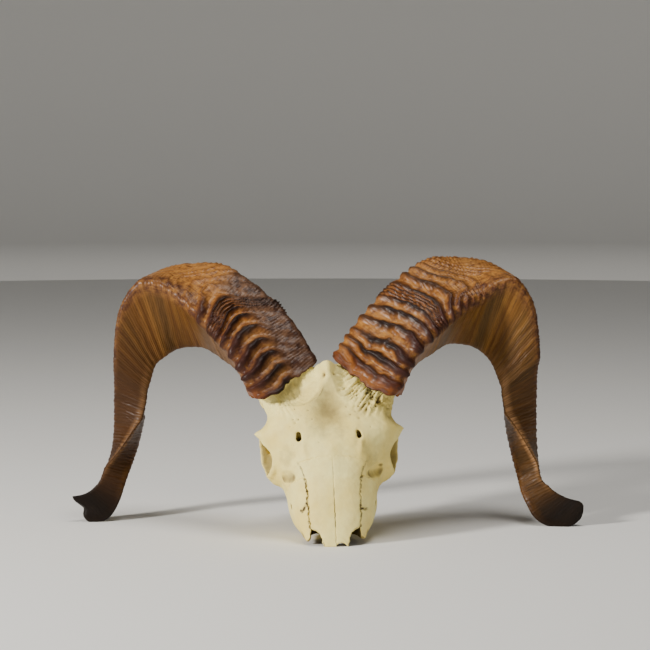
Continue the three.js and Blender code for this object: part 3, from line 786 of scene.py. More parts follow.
def finish_bone(name, field, axes, warmth, relief):
    """Meshes a field, roughens it, places it on the table and gives it its bone."""
    points, faces = skin_of(field, axes)
    normals = outward(field, axes, points)
    opened = openness(field, axes, points, normals)
    lift, extra = relief(points, normals)
    # painted shade: the less open a place is, the darker, together with the painted hollows, patches, pits
    # and grooves, mixed with some grime
    shade_and_dirt = np.maximum(np.maximum(1 - opened * 1.15, shade_and_stain_of_hollows(points)), shade_and_stain_of_patches(points) + extra.pop("shade_and_dirt", 0))
    values = {"tooth": np.zeros(len(points)), "hollow": np.clip(shade_and_dirt, 0, 1), **extra}
    place = on_table(points + normals * lift[:, None])
    place[:, 2] = np.maximum(place[:, 2], 0)
    piece = make_mesh(name, place, faces, **values)
    piece.data.materials.append(bone_material(name + "_bone", warmth))
    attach(piece, "root")
    return piece


def general_relief(points):
    """Swellings, hollows and lumps of the skull, which run on from bone to bone."""
    x, q, c = points.T
    front = step_up(-q, -14, -4)
    lift = 0.5 * grain(points, 11, 11) + 0.26 * grain(points, 4, 12) + 0.12 * grain(points, 1.9, 13)
    lift *= 0.6 + 0.4 * step_up(c, 60, 105)
    lift -= front * 4.4 * dome(x, c, 0, 134, 15, 25)
    lift += front * 1.2 * dome(x, c, 0, 92, 9, 18)
    lift += front * 1.8 * dome(np.abs(x), c, 46, 126, 12, 12)
    lift -= step_up(-q, -30, -18) * 2.4 * dome(np.abs(x), c, 42, 88, 8, 13)
    lift += front * 1.3 * dome(x + (104 - c) * 0.12, c, 29, 93, 2.6, 9)
    return lift + front * dome(x - (104 - c) * 0.10, c, -27, 92, 2.4, 9)


def core_marks(points):
    """Grooves and pores where the horn cores leave the forehead."""
    place = on_table(points)
    lift, porous = np.zeros(len(points)), np.zeros(len(points))
    for side_name, strength in (("left", 0.35), ("right", 1.0)):
        ratio, turn, height, _ = horn_reach(side_name, place, 0.12)
        near_core = step_up(height, -32, -16) * (1 - step_up(ratio, 1.05, 1.35))
        lines = np.stack([turn * 38, height * 0.12, ratio * 2], 1)
        groove = np.abs(grain(lines, 2.2, 31)) * 1.3 + 0.6 * np.abs(grain(lines, 1.2, 32))
        middle = 0.45 + 0.55 * (1 - step_up(np.abs(np.degrees(turn) + 14), 26, 56))
        lift += strength * near_core * middle * (1.2 - np.clip(1.0 - groove * 1.25, 0, 1) * 5.2)
        burr = step_up(height, -26, -16) * (1 - step_up(height, -12, -2)) * (1 - step_up(ratio, 1.15, 1.4))
        burr = burr * step_up(-turn, math.radians(20), math.radians(55)) * strength
        lift += burr * (1.4 - 2.8 * step_up(grain(points, 2.3, 33), 0.0, 0.5))
        porous = np.maximum(porous, np.maximum(burr, 0.5 * near_core * strength))
    return lift, porous


# x, c and radius of small holes in the forehead
PITS = [(-35, 122.7, 1.2), (-30, 122.2, 1.1), (-33, 119, 0.9), (-5.5, 166.8, 2.6), (7, 168, 1.6),
        (27, 121, 1.0), (24, 128, 0.8), (-38, 116, 0.8), (-27, 126, 0.7), (-21, 131, 0.8), (-17, 122, 0.6),
        (-24, 138, 0.9), (-13, 134, 0.6), (-33, 133, 0.7), (16, 133, 0.6), (19, 125, 0.7), (38, 112, 0.7),
        (-12, 98, 0.7), (9, 93, 0.7), (-50, 130, 0.8)]


def forehead_relief(points, _):
    x, q, c = points.T
    front = step_up(-q, -14, -4)
    lift, shade_and_dirt = general_relief(points), np.zeros(len(points))
    for px, pc, radius in PITS:
        pit = dome(x, c, px, pc, radius, radius)
        lift -= front * radius * pit
        # painted shade in the small holes
        shade_and_dirt = np.maximum(shade_and_dirt, front * 0.9 * pit**2)
    marks, porous = core_marks(points)
    porous = np.maximum(porous, 0.5 * step_up(grain(points, 14, 41), -0.15, 0.6))
    # painted shade in the grooves where the horn cores leave the forehead
    shade_and_dirt = shade_and_dirt + 0.8 * step_up(-marks, 0.6, 2.6)
    beside = np.abs(np.abs(x) - along_rows(NASAL_HEIGHTS, NASAL_HALVES, c)[:, 0])
    seam = 0.95 * front * (1 - step_up(beside, 0.7, 1.5)) * (1 - step_up(c, 76, 83))
    return lift + marks, {"porous": np.clip(porous + 0.15, 0, 1), "shade_and_dirt": shade_and_dirt, "seam": seam}


OFF_FACIAL, OFF_NASAL = 0.35, 0.9  # mm that the cranium's edges stop short of those bones
axes = grid((-82, -20, 52), (80, 142, 192), CRANIUM_VOXEL)
cranium_form = skull_form(axes)
carve(cranium_form, axes, LIP_SCOOP, 1.2)
carve(cranium_form, axes, FLANK_SCOOP, 5)
for side_name, (_, side) in HORN_SIDES.items():
    part, at = near(axes, *side_box(side, 90, 2, (-30, 118), (150, 200)), 0)
    block = np.stack([a.ravel() for a in np.broadcast_arrays(*at)], 1)
    ratio, turn, height, root_height = horn_reach(side_name, on_table(block), 0.25)
    sheath = np.maximum((ratio - 1.05) * SHEATH_INSET, -height - 1.5)
    core = np.maximum((ratio - CORE_WIDTH + 0.018 * np.clip(-root_height - 4, 0, 24)) * SHEATH_INSET,
                      np.maximum(root_height - CORE_RISE, -root_height - 28))
    free = beyond_neck(side_name, ratio, turn, height, block[:, 0], block[:, 1])
    shape = (3, *cranium_form[part].shape)
    free, sheath, core = np.stack([free, sheath, core]).astype(np.float32).reshape(shape)
    clear = soft_cut(soft_cut(cranium_form[part], free, 5.0), sheath, 1.0)
    cranium_form[part] = soft_min(clear, core, 4 if side > 0 else 3)
cranium_form = within(cranium_form, -(facial_gap(axes) + OFF_FACIAL), -(nasal_gap(axes) + OFF_NASAL),
                      table_gap(axes)).astype(np.float32)
cranium = finish_bone("bone_cranium", cranium_form, axes, 0.0, forehead_relief)
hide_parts("cranium")

# ---------------------------------------------------------------------------
# Maxillae: the left and right upper jaw with its cheek teeth, two thin-walled bones
# that meet in the palate and join the cranium and the nasals at open sutures.
# Their front ends are ragged where the bones of the lip have come away.

FACIAL_VOXEL = 0.8
TOOTH_LENGTHS = [7, 8.5, 9.5, 12, 14, 16]  # first premolar to last molar, mm
TOOTH_WIDTH = 8.5  # of the first, mm
ROW_SPREAD = 1.1  # mm that each tooth is wider, and farther out, than the one before
TOOTH_CROWN = 11
ROW_START = (29, 58, 32)  # x, q, c of the first premolar's root
ROW_TURN = math.radians(26)  # the tooth row against the face line
EDGE_GAP = 0.15  # mm that each jaw stops short of the middle and of the suture above it
NASAL_LAP = 0.1  # mm that it reaches under the nasals' edges
NOTCH_DEPTH = 14  # the front ends are cut back this far, mm
PALATE_CLEARANCE = 5  # from the palate's front edge down to the table, mm
TIP_NOTCH = [(16, 17.6), (22.2, 18.4), (23.6, 13), (24.5, 8.6), (27.6, 7.4), (45, 6), (45, -12), (9, -12)]


def tooth(side, along, length, place_in_row):
    """One cheek tooth: two rounded lobes with ridged, cupped biting faces."""
    half = (TOOTH_WIDTH + place_in_row * ROW_SPREAD) / 2
    x0 = side * (ROW_START[0] + place_in_row * ROW_SPREAD)
    turn = np.array([math.cos(ROW_TURN), math.sin(ROW_TURN)])

    def shape(px, pq, pc):
        q, c = pq - ROW_START[1], pc - ROW_START[2]
        row, out = c * turn[0] + q * turn[1], q * turn[0] - c * turn[1]
        gap = None
        for lobe in (-0.25, 0.25):
            u = (px - x0) / half
            v = (row - along - length * (0.5 + lobe)) / (length * 0.265)
            ring = ((np.abs(u) ** 2.2 + np.abs(v) ** 2.2) ** (1 / 2.2) - 1) * length * 0.27
            wear = TOOTH_CROWN - 1.2 - 1.3 * np.cos(v * 2.6) * np.cos(u * 2.2 + 0.6) + 0.5 * np.cos(u * 7)
            lobe_gap = np.maximum(ring, np.maximum(out - wear, -out - 9))
            gap = lobe_gap if gap is None else soft_min(gap, lobe_gap, 0.7)
        return gap

    reach = along + length
    low = (x0 - half - 1, ROW_START[1] - 12, ROW_START[2] + along * turn[0] - 8)
    high = (x0 + half + 1, ROW_START[1] + reach * turn[1] + TOOTH_CROWN + 1,
            ROW_START[2] + reach * turn[0] + 6)
    return shape, low, high


def ragged(axes, size, seed):
    """Small random lumps over the face of a grid, for broken edges."""
    u, v = np.meshgrid(axes[0], axes[2], indexing="ij")
    lumps = grain(np.stack([u.ravel(), v.ravel(), 0 * u.ravel()], 1), size, seed)
    return lumps.reshape(u.shape).astype(np.float32)


# x and c along the crack that leaves each suture with the nasals
SIDE_CRACKS = {-1: [(-24.8, 45), (-26.3, 41), (-28.6, 37), (-30.6, 35.2), (-31.6, 36.4)],
               1: [(23.6, 43), (23.2, 39), (24.6, 35.6), (28.4, 34.4), (31, 35.6)]}


def maxilla(name, side):
    axes = grid(*side_box(side, 60, 3, (-18, -6), (112, 110)), FACIAL_VOXEL)
    form = skull_form(axes)
    teeth = np.full(form.shape, 50, np.float32)
    along = 0
    for i, length in enumerate(TOOTH_LENGTHS):
        grow(teeth, axes, tooth(side, along, length, i), 0.1)
        along += length
    x, q, _ = spread(axes)
    notch = outline_gap([(side * x, c) for x, c in TIP_NOTCH], axes[0], axes[2])
    notch = notch - 1.5 * ragged(axes, 2.9, 51 + side) - 0.9 * ragged(axes, 1.5, 61 + side)
    notch = notch[:, None, :]
    form = within(soft_min(form, teeth, 1.0), facial_gap(axes) + EDGE_GAP, -(nasal_gap(axes) - NASAL_LAP),
                  EDGE_GAP - side * x, -np.maximum(notch, q - NOTCH_DEPTH),
                  -np.maximum(NOTCH_DEPTH - q, -table_gap(axes) - PALATE_CLEARANCE))
    holes = []
    rng = np.random.default_rng(70 + side)
    for c in np.arange(20, 82, 3.7):
        c = c + rng.uniform(-1.3, 1.3)
        size = rng.uniform(0.4, 1.25) * (1.0 if side < 0 else 0.75)
        x = side * (float(along_rows(NASAL_HEIGHTS, NASAL_HALVES, c)[0]) + rng.uniform(0.0, 0.9))
        holes.append(ball(x, float(face_depth(x, c)), c, size * 0.8, size * 1.5, size * 1.4))
    crack = [(x, float(face_depth(x, c)) + 0.2, c) for x, c in SIDE_CRACKS[side]]
    holes.append(rod(crack, 0.55))
    for hole in holes:
        carve(form, axes, hole, 0.4)
    form = within(form, table_gap(axes)).astype(np.float32)
    room = nasal_gap(axes).astype(np.float32)

    def relief(points, normals):
        crown = sample(teeth, axes, points)
        toothed = 1 - step_up(crown, 0.0, 0.8)
        seam = 1 - step_up(np.abs(sample(room, axes, points)), 0.3, 1.0)
        front = step_up(-normals[:, 1], 0.2, 0.5)
        nearest = np.minimum.reduce([hole[0](*points.T) for hole in holes])
        seam = np.maximum(seam, 1 - step_up(nearest, 0.3, 0.9))
        broken = 1 - step_up(points[:, 2], 6, 16)
        # painted shade along the broken front edges and on the faces inside the notch
        edge = 1 - step_up(sample(np.broadcast_to(notch, form.shape), axes, points), 0.3, 1.8)
        edge = np.maximum(edge, step_up(points[:, 1], 11, 14) * (1 - step_up(points[:, 2], 14, 24)))
        lift = general_relief(points) * (1 - toothed) * (1 + 0.8 * broken)
        porous = 0.15 + 0.5 * broken + 0.5 * step_up(grain(points, 11, 42), 0.1, 0.7)
        porous = np.clip(porous, 0, 1)
        return lift, {"tooth": toothed, "seam": seam * front, "porous": porous, "shade_and_dirt": 0.75 * edge}

    piece = finish_bone(name, form, axes, 0.06, relief)
    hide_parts(name[5:])


for name, side in (("bone_maxilla_left", -1), ("bone_maxilla_right", 1)):
    maxilla(name, side)

# ---------------------------------------------------------------------------
# Nasals: two long thin bones side by side that roof the nose and end in free points.
# Their edges stop a hair short of their neighbours, and their tips are chipped.

NASAL_VOXEL = 0.6
NASAL_EDGE_GAP = 0.05  # mm that each nasal stops short of the edge of its room


def nasal(name, side):
    axes = grid(*side_box(side, 36, 2, (-18, -5), (12, 88)), NASAL_VOXEL)
    x, _, c = spread(axes)
    middle = side * (0.25 * np.sin(c * 0.9) + 0.15 * np.sin(c * 2.3)) + 0.02
    tip = ragged(axes, 2.2, 81 + side)[:, None, :]
    form = within(face_form(axes), nasal_gap(axes) + NASAL_EDGE_GAP, middle - side * x,
                  (-2.2 + 0.9 * tip) - c)
    if side > 0:
        carve(form, axes, ball(5, 0, -2.2, 6.2, 12, 6.0), 0.4)
    form = within(form, table_gap(axes)).astype(np.float32)

    def relief(points, normals):
        px, _, pc = points.T
        half = along_rows(NASAL_HEIGHTS, NASAL_HALVES, pc)[:, 0]
        edge = np.minimum(np.abs(px) + 0.1, half - np.abs(px))
        seam = 1 - step_up(edge, 0.25, 0.8)
        front = step_up(-normals[:, 1], 0.2, 0.5)
        seam = seam * front * 0.7 * step_up(grain(points, 5, 44), -0.5, 0.2)
        porous = 0.1 + 0.2 * step_up(grain(points, 12, 43), 0.2, 0.7)
        return general_relief(points), {"seam": seam, "porous": porous}

    piece = finish_bone(name, form, axes, 0.04, relief)
    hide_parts(name[5:])


for name, side in (("bone_nasal_left", -1), ("bone_nasal_right", 1)):
    nasal(name, side)

# ---------------------------------------------------------------------------
# Horn sheaths: two hollow, three-sided curls of horn that slip over the bony cores.
# The ribbed side carries a rib for each spell of growth and a deep check where it stopped;
# the surface is varnished, amber to dark brown, and the tips are worn and nearly black.

HORN_RING_STEP = 0.5  # mm between rings along the horn
HORN_SIDE_POINTS = 116
# distance from the rim, mm, of the groove before each rib; the growth check lies after the seventh
RIB_GROOVES = {
    "left": [0, 15, 30, 45, 61, 75, 86, 99, 116, 132, 144, 154, 166, 176],
    "right": [-4, 10, 25, 38, 56, 72, 84, 98, 115, 131, 146, 159, 171, 183],
}
RIB_BOW = {"left": (-25, 0.0043), "right": (-38, 0.0013)}  # turn of each rib's highest point, fall from it
MEDIAL_LIFT = {"left": 0, "right": 10}  # mm that the first ribs rise again at the rear edge
OUTER_PITCH, TIP_PITCH = 10, 7.0  # mm from rib to rib beyond those, and near the tip
RIBS_END = 420  # mm from the rim, past both tips
TIP_ROUNDING = {"left": 3.0, "right": 6.0}  # mm of each tip that close its end
TIP_CHIP = {"left": (6.5, 0.1), "right": (0.0, 0.0)}  # depth in mm of a chip in the end, its place across
CHIP_HALF = 0.42  # its half width, as a share of the end's
CHIP_REACH = 14  # mm of the tip that lean over with it
TIP_WORN = 65  # mm of the tip that wear has smoothed


def rib_count(side_name, distance):
    """Running count of ribs at a distance from the rim; whole numbers are grooves."""
    grooves = list(RIB_GROOVES[side_name])
    while grooves[-1] < RIBS_END:
        share = (grooves[-1] - 176) / 230
        grooves.append(grooves[-1] + OUTER_PITCH + (TIP_PITCH - OUTER_PITCH) * min(share * 1.3, 1))
    return np.interp(distance, grooves, np.arange(len(grooves)))


def fading(distance, reach):
    """1 at no distance, evenly down to 0 at this reach."""
    return np.clip(1 - distance / reach, 0, 1)


def horn_blank(name, side_name):
    """The sheath as a smooth closed sweep with marks for its ribs, from socket top to tip."""
    shares = np.linspace(0, 1, 2001)
    middle = horn_stations(side_name, shares)[0]
    travelled = np.concatenate([[0], np.cumsum(np.linalg.norm(np.diff(middle, axis=0), axis=1))])
    length = travelled[-1]
    distance = np.linspace(0, length, int(length / HORN_RING_STEP))
    t = np.interp(distance, travelled, shares)
    centre, along, outer, towards, sizes, extents = horn_stations(side_name, t)
    turn = np.arange(HORN_SIDE_POINTS) / HORN_SIDE_POINTS * 2 * math.pi
    radius = section_radius(turn)
    seen = turn + np.radians(sizes[:, 3])[:, None]
    wide = radius * np.sin(seen) - (extents[:, :1] + extents[:, 1:2]) / 2
    deep = radius * np.cos(seen) - (extents[:, 2:3] + extents[:, 3:]) / 2
    wide *= sizes[:, :1] / (extents[:, 1:2] - extents[:, :1])
    deep *= sizes[:, 1:2] / (extents[:, 3:] - extents[:, 2:3])
    closing = 1 - fading(length - distance, TIP_ROUNDING[side_name]) ** 2
    closing = (0.1 + 0.9 * np.sqrt(closing))[:, None]
    chip_depth, chip_place = TIP_CHIP[side_name]
    half_width = np.abs(wide).max(1, keepdims=True)
    wide, deep = wide * closing, deep * closing
    chip = np.exp(-((wide / half_width - chip_place) / CHIP_HALF) ** 2)
    chip = chip * chip_depth * fading(length - distance, CHIP_REACH)[:, None]
    bow = rim_sag(side_name, turn)[None]
    tilt = fading(t, 0.1)[:, None] * (RIM_SIDE * wide - RIM_FRONT * deep - bow)
    frayed = 0.8 * np.sin(7 * turn + 1) + 0.6 * np.sin(13 * turn) + 0.5 * np.sin(23 * turn + 2)
    tilt = tilt + fading(t, 0.012)[:, None] * frayed[None] - chip

    def ring(i, scale, shift):
        return (centre[i] + (wide[i] * scale)[:, None] * outer[i] + (deep[i] * scale)[:, None] * towards[i]
                + (tilt[i] + shift)[:, None] * along[i])

    zero = np.zeros(HORN_SIDE_POINTS)
    rings = [ring(i, 1, zero) for i in range(len(t))]
    # the socket: a lip a few mm thick, walls narrowing to its roof
    socket = [(0, 0.985, -0.9), (0, 0.955, -1.2), (0, 0.92, -0.7), (0, 0.895, 0.8), (3, 0.88, 0),
              (8, 0.87, 0), (16, 0.865, 0), (24, 0.86, 0), (30, 0.84, 0), (32, 0.7, 0), (33, 0.4, 0)]
    inner = [ring(i, scale, zero + shift) for i, scale, shift in socket][::-1]
    lead, total = len(inner), len(inner) + len(rings)
    points = np.concatenate(inner + rings)
    index = np.arange(total * HORN_SIDE_POINTS).reshape(total, HORN_SIDE_POINTS)
    step = np.roll(index, -1, 1)
    faces = np.stack([index[:-1], step[:-1], step[1:], index[1:]], -1).reshape(-1, 4)
    hubs = [points[index[0]].mean(0), points[index[-1]].mean(0) + along[-1] * 0.2]
    points = np.concatenate([points, hubs])
    hub = np.full(HORN_SIDE_POINTS, total * HORN_SIDE_POINTS)
    caps = np.concatenate([np.stack([hub, step[0], index[0]], 1),
                           np.stack([hub + 1, index[-1], step[-1]], 1)])
    if side_name == "left":
        faces, caps = faces[:, ::-1], caps[:, ::-1]
    degrees = (np.degrees(turn) + 180) % 360 - 180
    front = step_up(degrees, -76, -58) * (1 - step_up(degrees, 64, 92))
    peak, fall = RIB_BOW[side_name]
    front_turn = np.clip(degrees, -62, 62)
    bow = -fall * (front_turn - peak) ** 2 - 5 * step_up(-front_turn, 38, 60)
    more = 1 + step_up(distance, 88, 150) * (0.3 if side_name == "left" else 5)
    lift = MEDIAL_LIFT[side_name] * step_up(front_turn, 15, 55)[None]
    lift = lift * (1 - step_up(distance, 20, 65))[:, None]
    more *= 0.25 + 0.75 * step_up(distance, 4, 34)
    beat = rib_count(side_name, distance[:, None] - bow[None] * more[:, None] - lift)
    marks = {
        "along": np.repeat(np.concatenate([np.zeros(lead), distance]), HORN_SIDE_POINTS),
        "around": np.tile(degrees, total),
        "front": np.tile(front, total),
        "beat": np.concatenate([np.zeros(lead * HORN_SIDE_POINTS), beat.ravel()]),
        "outside": np.repeat(np.arange(total) >= lead, HORN_SIDE_POINTS),
    }
    marks = {key: np.concatenate([value, [value[0], value[-1]]]) for key, value in marks.items()}
    return make_mesh(name, points, faces, caps, **marks), length


def smooth_range(value, low, high, start=0.0, end=1.0):
    inputs = dict(enumerate((value, low, high, start, end)))
    return wire(value.tree, "ShaderNodeMapRange", inputs, "Result", interpolation_type="SMOOTHSTEP")


def groove_at(count, width):
    """1 where a running count is whole, falling to 0 over this share of half a rib."""
    part = math_node(count.tree, "FRACT", count)
    return 1 - smooth_range(math_node(count.tree, "MINIMUM", part, 1 - part) * 2, 0.0, width)


def rib_tree():
    """Ribs, growth check, lines and wrinkles, pressed into a smooth sheath."""
    tree = bpy.data.node_groups.new("horn ribs", "GeometryNodeTree")
    face = tree.interface
    face.new_socket("Geometry", in_out="INPUT", socket_type="NodeSocketGeometry")
    for name, value in RIB_INPUTS.items():
        face.new_socket(name, in_out="INPUT", socket_type="NodeSocketFloat").default_value = value
    face.new_socket("Horn Material", in_out="INPUT", socket_type="NodeSocketMaterial")
    face.new_socket("Geometry", in_out="OUTPUT", socket_type="NodeSocketGeometry")
    outlets = tree.nodes.new("NodeGroupInput").outputs
    given = {name: Value(tree, outlets[name]) for name in ("Geometry", *RIB_INPUTS, "Horn Material")}
    along, around, front, beat, outside = [
        wire(tree, "GeometryNodeInputNamedAttribute", {"Name": mark}, "Attribute", data_type="FLOAT")
        for mark in ("along", "around", "front", "beat", "outside")]
    place = wire(tree, "GeometryNodeInputPosition", {})

    def lumps(scale):
        inputs = {"Vector": place, "Scale": scale, "Detail": 2.0, "W": given["Seed"]}
        return wire(tree, "ShaderNodeTexNoise", inputs, "Fac", noise_dimensions="4D") - 0.5

    def at_least(low, value):
        return math_node(tree, "MAXIMUM", value, low)

    past_check = smooth_range(along, given["Check End"], given["Check End"] + 25)
    count = beat + lumps(45) * (past_check * 1.3 + 0.5) + lumps(140) * 0.35
    check_rib = given["Check Rib"]
    in_check = smooth_range(count, check_rib - 0.12, check_rib + 0.12)
    in_check = in_check * smooth_range(count, check_rib + 0.9, check_rib + 1.1, 1.0, 0.0)
    wide, fine = groove_at(count, given["Groove Width"]), groove_at(count * 4, 0.6)
    medial = smooth_range(around, given["Fade From"], given["Fade From"] + 35, 1.0, given["Fade To"])
    medial = at_least(past_check, medial)
    strength = front * medial * smooth_range(along, 84, 205, 1.0, 0.26) * (lumps(28) * 1.1 + 1)
    ribs = wide * (1 - in_check) * strength * (1 - past_check * given["Late Fade"])
    ribs = ribs + (fine * 0.5 + 0.35) * in_check * at_least(0.18, front)
    ribs = ribs + groove_at(count * 2, 0.9) * past_check * strength * 0.14
    # the ribs run on faintly over the inner and rear sides
    ribs = ribs + wide * (1 - front) * given["Side Ribs"]
    wrinkle = groove_at((along + lumps(60) * 9) / given["Wrinkle Pitch"], 0.9)
    wrinkle = wrinkle * smooth_range(along, 190, 270)
    lines = groove_at((along + lumps(35) * 7) / given["Line Pitch"], 1.0) * (lumps(90) * 1.6 + 0.8)
    depth = ribs * given["Rib Depth"] + wrinkle * given["Wrinkle Depth"] + lines * given["Line Depth"]
    depth = depth * smooth_range(along, given["Worn From"], given["Worn From"] + 35, 1.0, 0.25)
    bumps = (lumps(62) + lumps(130) * 0.3) * given["Lump Height"] * ((1 - medial) * 2.4 + 0.5)
    height = (bumps * at_least(0.3, front) - depth) * outside * (smooth_range(along, 0, 5) * 0.6 + 0.4)

    normal = wire(tree, "GeometryNodeInputNormal", {})
    shift = wire(tree, "ShaderNodeVectorMath", {0: normal, "Scale": height * MM}, operation="SCALE")
    geometry = given["Geometry"]
    for name, value in (("groove", ribs), ("medial", medial)):
        inputs = {"Geometry": geometry, "Name": name, "Value": value}
        geometry = wire(tree, "GeometryNodeStoreNamedAttribute", inputs, data_type="FLOAT", domain="POINT")
    geometry = wire(tree, "GeometryNodeSetPosition", {"Geometry": geometry, "Offset": shift})
    geometry = wire(tree, "GeometryNodeRealizeInstances", {0: geometry})
    inputs = {"Geometry": geometry, "Material": given["Horn Material"]}
    geometry = wire(tree, "GeometryNodeSetMaterial", inputs)
    feed(tree, tree.nodes.new("NodeGroupOutput").inputs[0], geometry)
    return tree


# sizes and places in mm, turns in degrees, widths as shares of a rib
RIB_INPUTS = {"Rib Depth": 4.4, "Groove Width": 0.95, "Check Rib": 6.0, "Check End": 98.0, "Side Ribs": 0.08,
              "Fade From": 8.0, "Fade To": 1.0, "Wrinkle Pitch": 3.6, "Wrinkle Depth": 0.34,
              "Line Pitch": 2.6, "Line Depth": 0.24, "Lump Height": 1.8, "Late Fade": 0.45,
              "Worn From": 400.0, "Seed": 1.0}
RIB_TREE = rib_tree()

AMBER, GOLD = (0.21, 0.070, 0.012), (0.40, 0.185, 0.042)
TAN, UMBER = (0.22, 0.095, 0.033), (0.055, 0.018, 0.006)
PLUM, RUST = (0.009, 0.0035, 0.003), (0.15, 0.038, 0.010)
OCHRE, HONEY = (0.135, 0.054, 0.010), (0.285, 0.130, 0.025)
DRAB, STREAK_BROWN = (0.075, 0.043, 0.012), (0.04, 0.018, 0.006)
PALE_LINE, ROOT_RED = (0.52, 0.29, 0.075), (0.33, 0.10, 0.014)
WEATHERED, WEATHERED_DARK = (0.115, 0.062, 0.038), (0.022, 0.010, 0.007)
SOOT, KNOB_BROWN = (0.032, 0.012, 0.008), (0.05, 0.017, 0.012)
DEEP_BROWN, EDGE_HIGHLIGHT_TAN = (0.030, 0.011, 0.0035), (0.33, 0.17, 0.07)
BLACK_HORN = (0.0045, 0.0025, 0.0014)


def horn_material(name, weathered_and_shaded, length, rust_to):
    """Varnished horn: golden ribs with painted highlights on their crests, plum grooves deepened with
    painted shade, ochre inner side with dark streaks, black tips; painted shade on the left horn's inner
    side and lower limb, and a painted highlight along the rear edge.
    """
    material, tree, surface = new_material(name)
    place = wire(tree, "ShaderNodeTexCoord", {}, "Object")
    along, around, front, groove, medial = attributes(tree, "along", "around", "front", "groove", "medial")
    strand = wire(tree, "ShaderNodeCombineXYZ", {0: along, 1: around * 0.009})
    lengthwise = wire(tree, "ShaderNodeCombineXYZ", {0: along * 0.05, 1: around * 0.45})
    lines, bands = noise(strand, 0.9, 6, 0.6), noise(strand, 0.13, 4, 0.6)
    broad = noise(strand, 0.035, 3, 0.6)
    cloud, mottle = noise(place, 26, 4, 0.6), noise(place, 150, 5, 0.65)
    strands = noise(lengthwise, 1.0, 4, 0.6)

    inner = mixed(tree, ramp(bands, (0.38, 0), (0.62, 1)), OCHRE, HONEY)
    inner = over(inner, ramp(broad, (0.42, 0), (0.58, 0.8)) * smooth_range(along, 60, 110), DRAB)
    streak = ramp(lines, (0.48, 0), (0.66, 0.85)) * ramp(mottle, (0.35, 0.4), (0.6, 1))
    inner = over(inner, streak, STREAK_BROWN)
    inner = over(inner, ramp(lines, (0.28, 0.6), (0.37, 0)), PALE_LINE)
    inner = over(inner, smooth_range(along, 6, 60, 1.0, 0.0) * 0.6, ROOT_RED)
    # painted shade: the left horn's inner side is darkened with umber
    inner = over(inner, 0.38 * weathered_and_shaded, UMBER)
    ribbed = mixed(tree, ramp(cloud, (0.36, 0), (0.62, 1)), AMBER, TAN)
    ribbed = over(ribbed, ramp(mottle, (0.46, 0), (0.70, 0.7)), UMBER)
    past_check = smooth_range(along, 96, 125)
    ribbed = over(ribbed, past_check * ramp(strands, (0.46, 0), (0.62, 0.6)), GOLD)
    ribbed = over(ribbed, past_check * ramp(strands, (0.34, 0.8), (0.48, 0)), UMBER)
    # gold on the rib crests: partly the horn's own gold, partly a painted highlight
    ribbed = over(ribbed, ramp(groove, (0.05, 1), (0.35, 0)) * ramp(mottle, (0.34, 0.75), (0.60, 0)), GOLD)
    weathered = mixed(tree, ramp(mottle, (0.40, 0), (0.62, 1)), WEATHERED, WEATHERED_DARK)
    ribbed = over(ribbed, (1 - medial) * weathered_and_shaded, weathered)
    sooty = smooth_range(along, 10, 85, 0.75, 0.0) * ramp(cloud, (0.34, 1), (0.66, 0.35))
    ribbed = over(ribbed, sooty * weathered_and_shaded, SOOT)
    colour = over(inner, front, ribbed)
    # plum-black in the grooves: partly the horn's dark groove colour, partly painted shade
    colour = over(colour, ramp(groove, (0.30, 0), (0.60, 0.70), (0.88, 0.97)), PLUM)
    knob = smooth_range(around, -78, -60) * smooth_range(around, -52, -30, 1.0, 0.0)
    colour = over(colour, knob * ramp(mottle, (0.35, 0.25), (0.62, 0.85)), KNOB_BROWN)
    rusty = smooth_range(along, 3, 16, 1.0, 0.0) * smooth_range(around, rust_to - 25, rust_to, 1.0, 0.0)
    colour = over(colour, rusty * ramp(mottle, (0.35, 0.9), (0.60, 0.15)), RUST)
    # the lower limb turns deep brown; the extra on the left horn is painted shade
    darker = smooth_range(along, 160, 265, 0.0, 0.72 + 0.28 * weathered_and_shaded)
    colour = over(colour, darker * ramp(bands, (0.3, 0.7), (0.7, 0.96)), DEEP_BROWN)
    colour = over(colour, smooth_range(along, length * 0.84, length * 0.95, 0.0, 0.95), BLACK_HORN)
    # painted highlight: a pale tan line along the rear edge of the lower limb, weaker on the left horn
    rear_edge_highlight = smooth_range(math_node(tree, "ABSOLUTE", around), 158, 176) * smooth_range(along, 150, 240)
    rear_edge_highlight = rear_edge_highlight * smooth_range(along, length * 0.80, length * 0.92, 1.0, 0.0) * (1 - 0.55 * weathered_and_shaded)
    colour = over(colour, rear_edge_highlight * ramp(lines, (0.4, 0.8), (0.6, 0.2)), EDGE_HIGHLIGHT_TAN)
    feed(tree, surface.inputs["Base Color"], colour)
    gloss = mottle * 0.26 + 0.20 + (1 - front) * 0.16 + groove * 0.12
    feed(tree, surface.inputs["Roughness"], clamped(gloss))
    _, rough = pores(place, 380, 0.35)
    feed(tree, surface.inputs["Normal"], bump(rough, 0.0004, 0.25, bump(lines, 0.0006, 0.45)))
    for label, value in (("Coat Weight", 0.03), ("Coat Roughness", 0.22), ("Specular IOR Level", 0.14)):
        surface.inputs[label].default_value = value
    return material


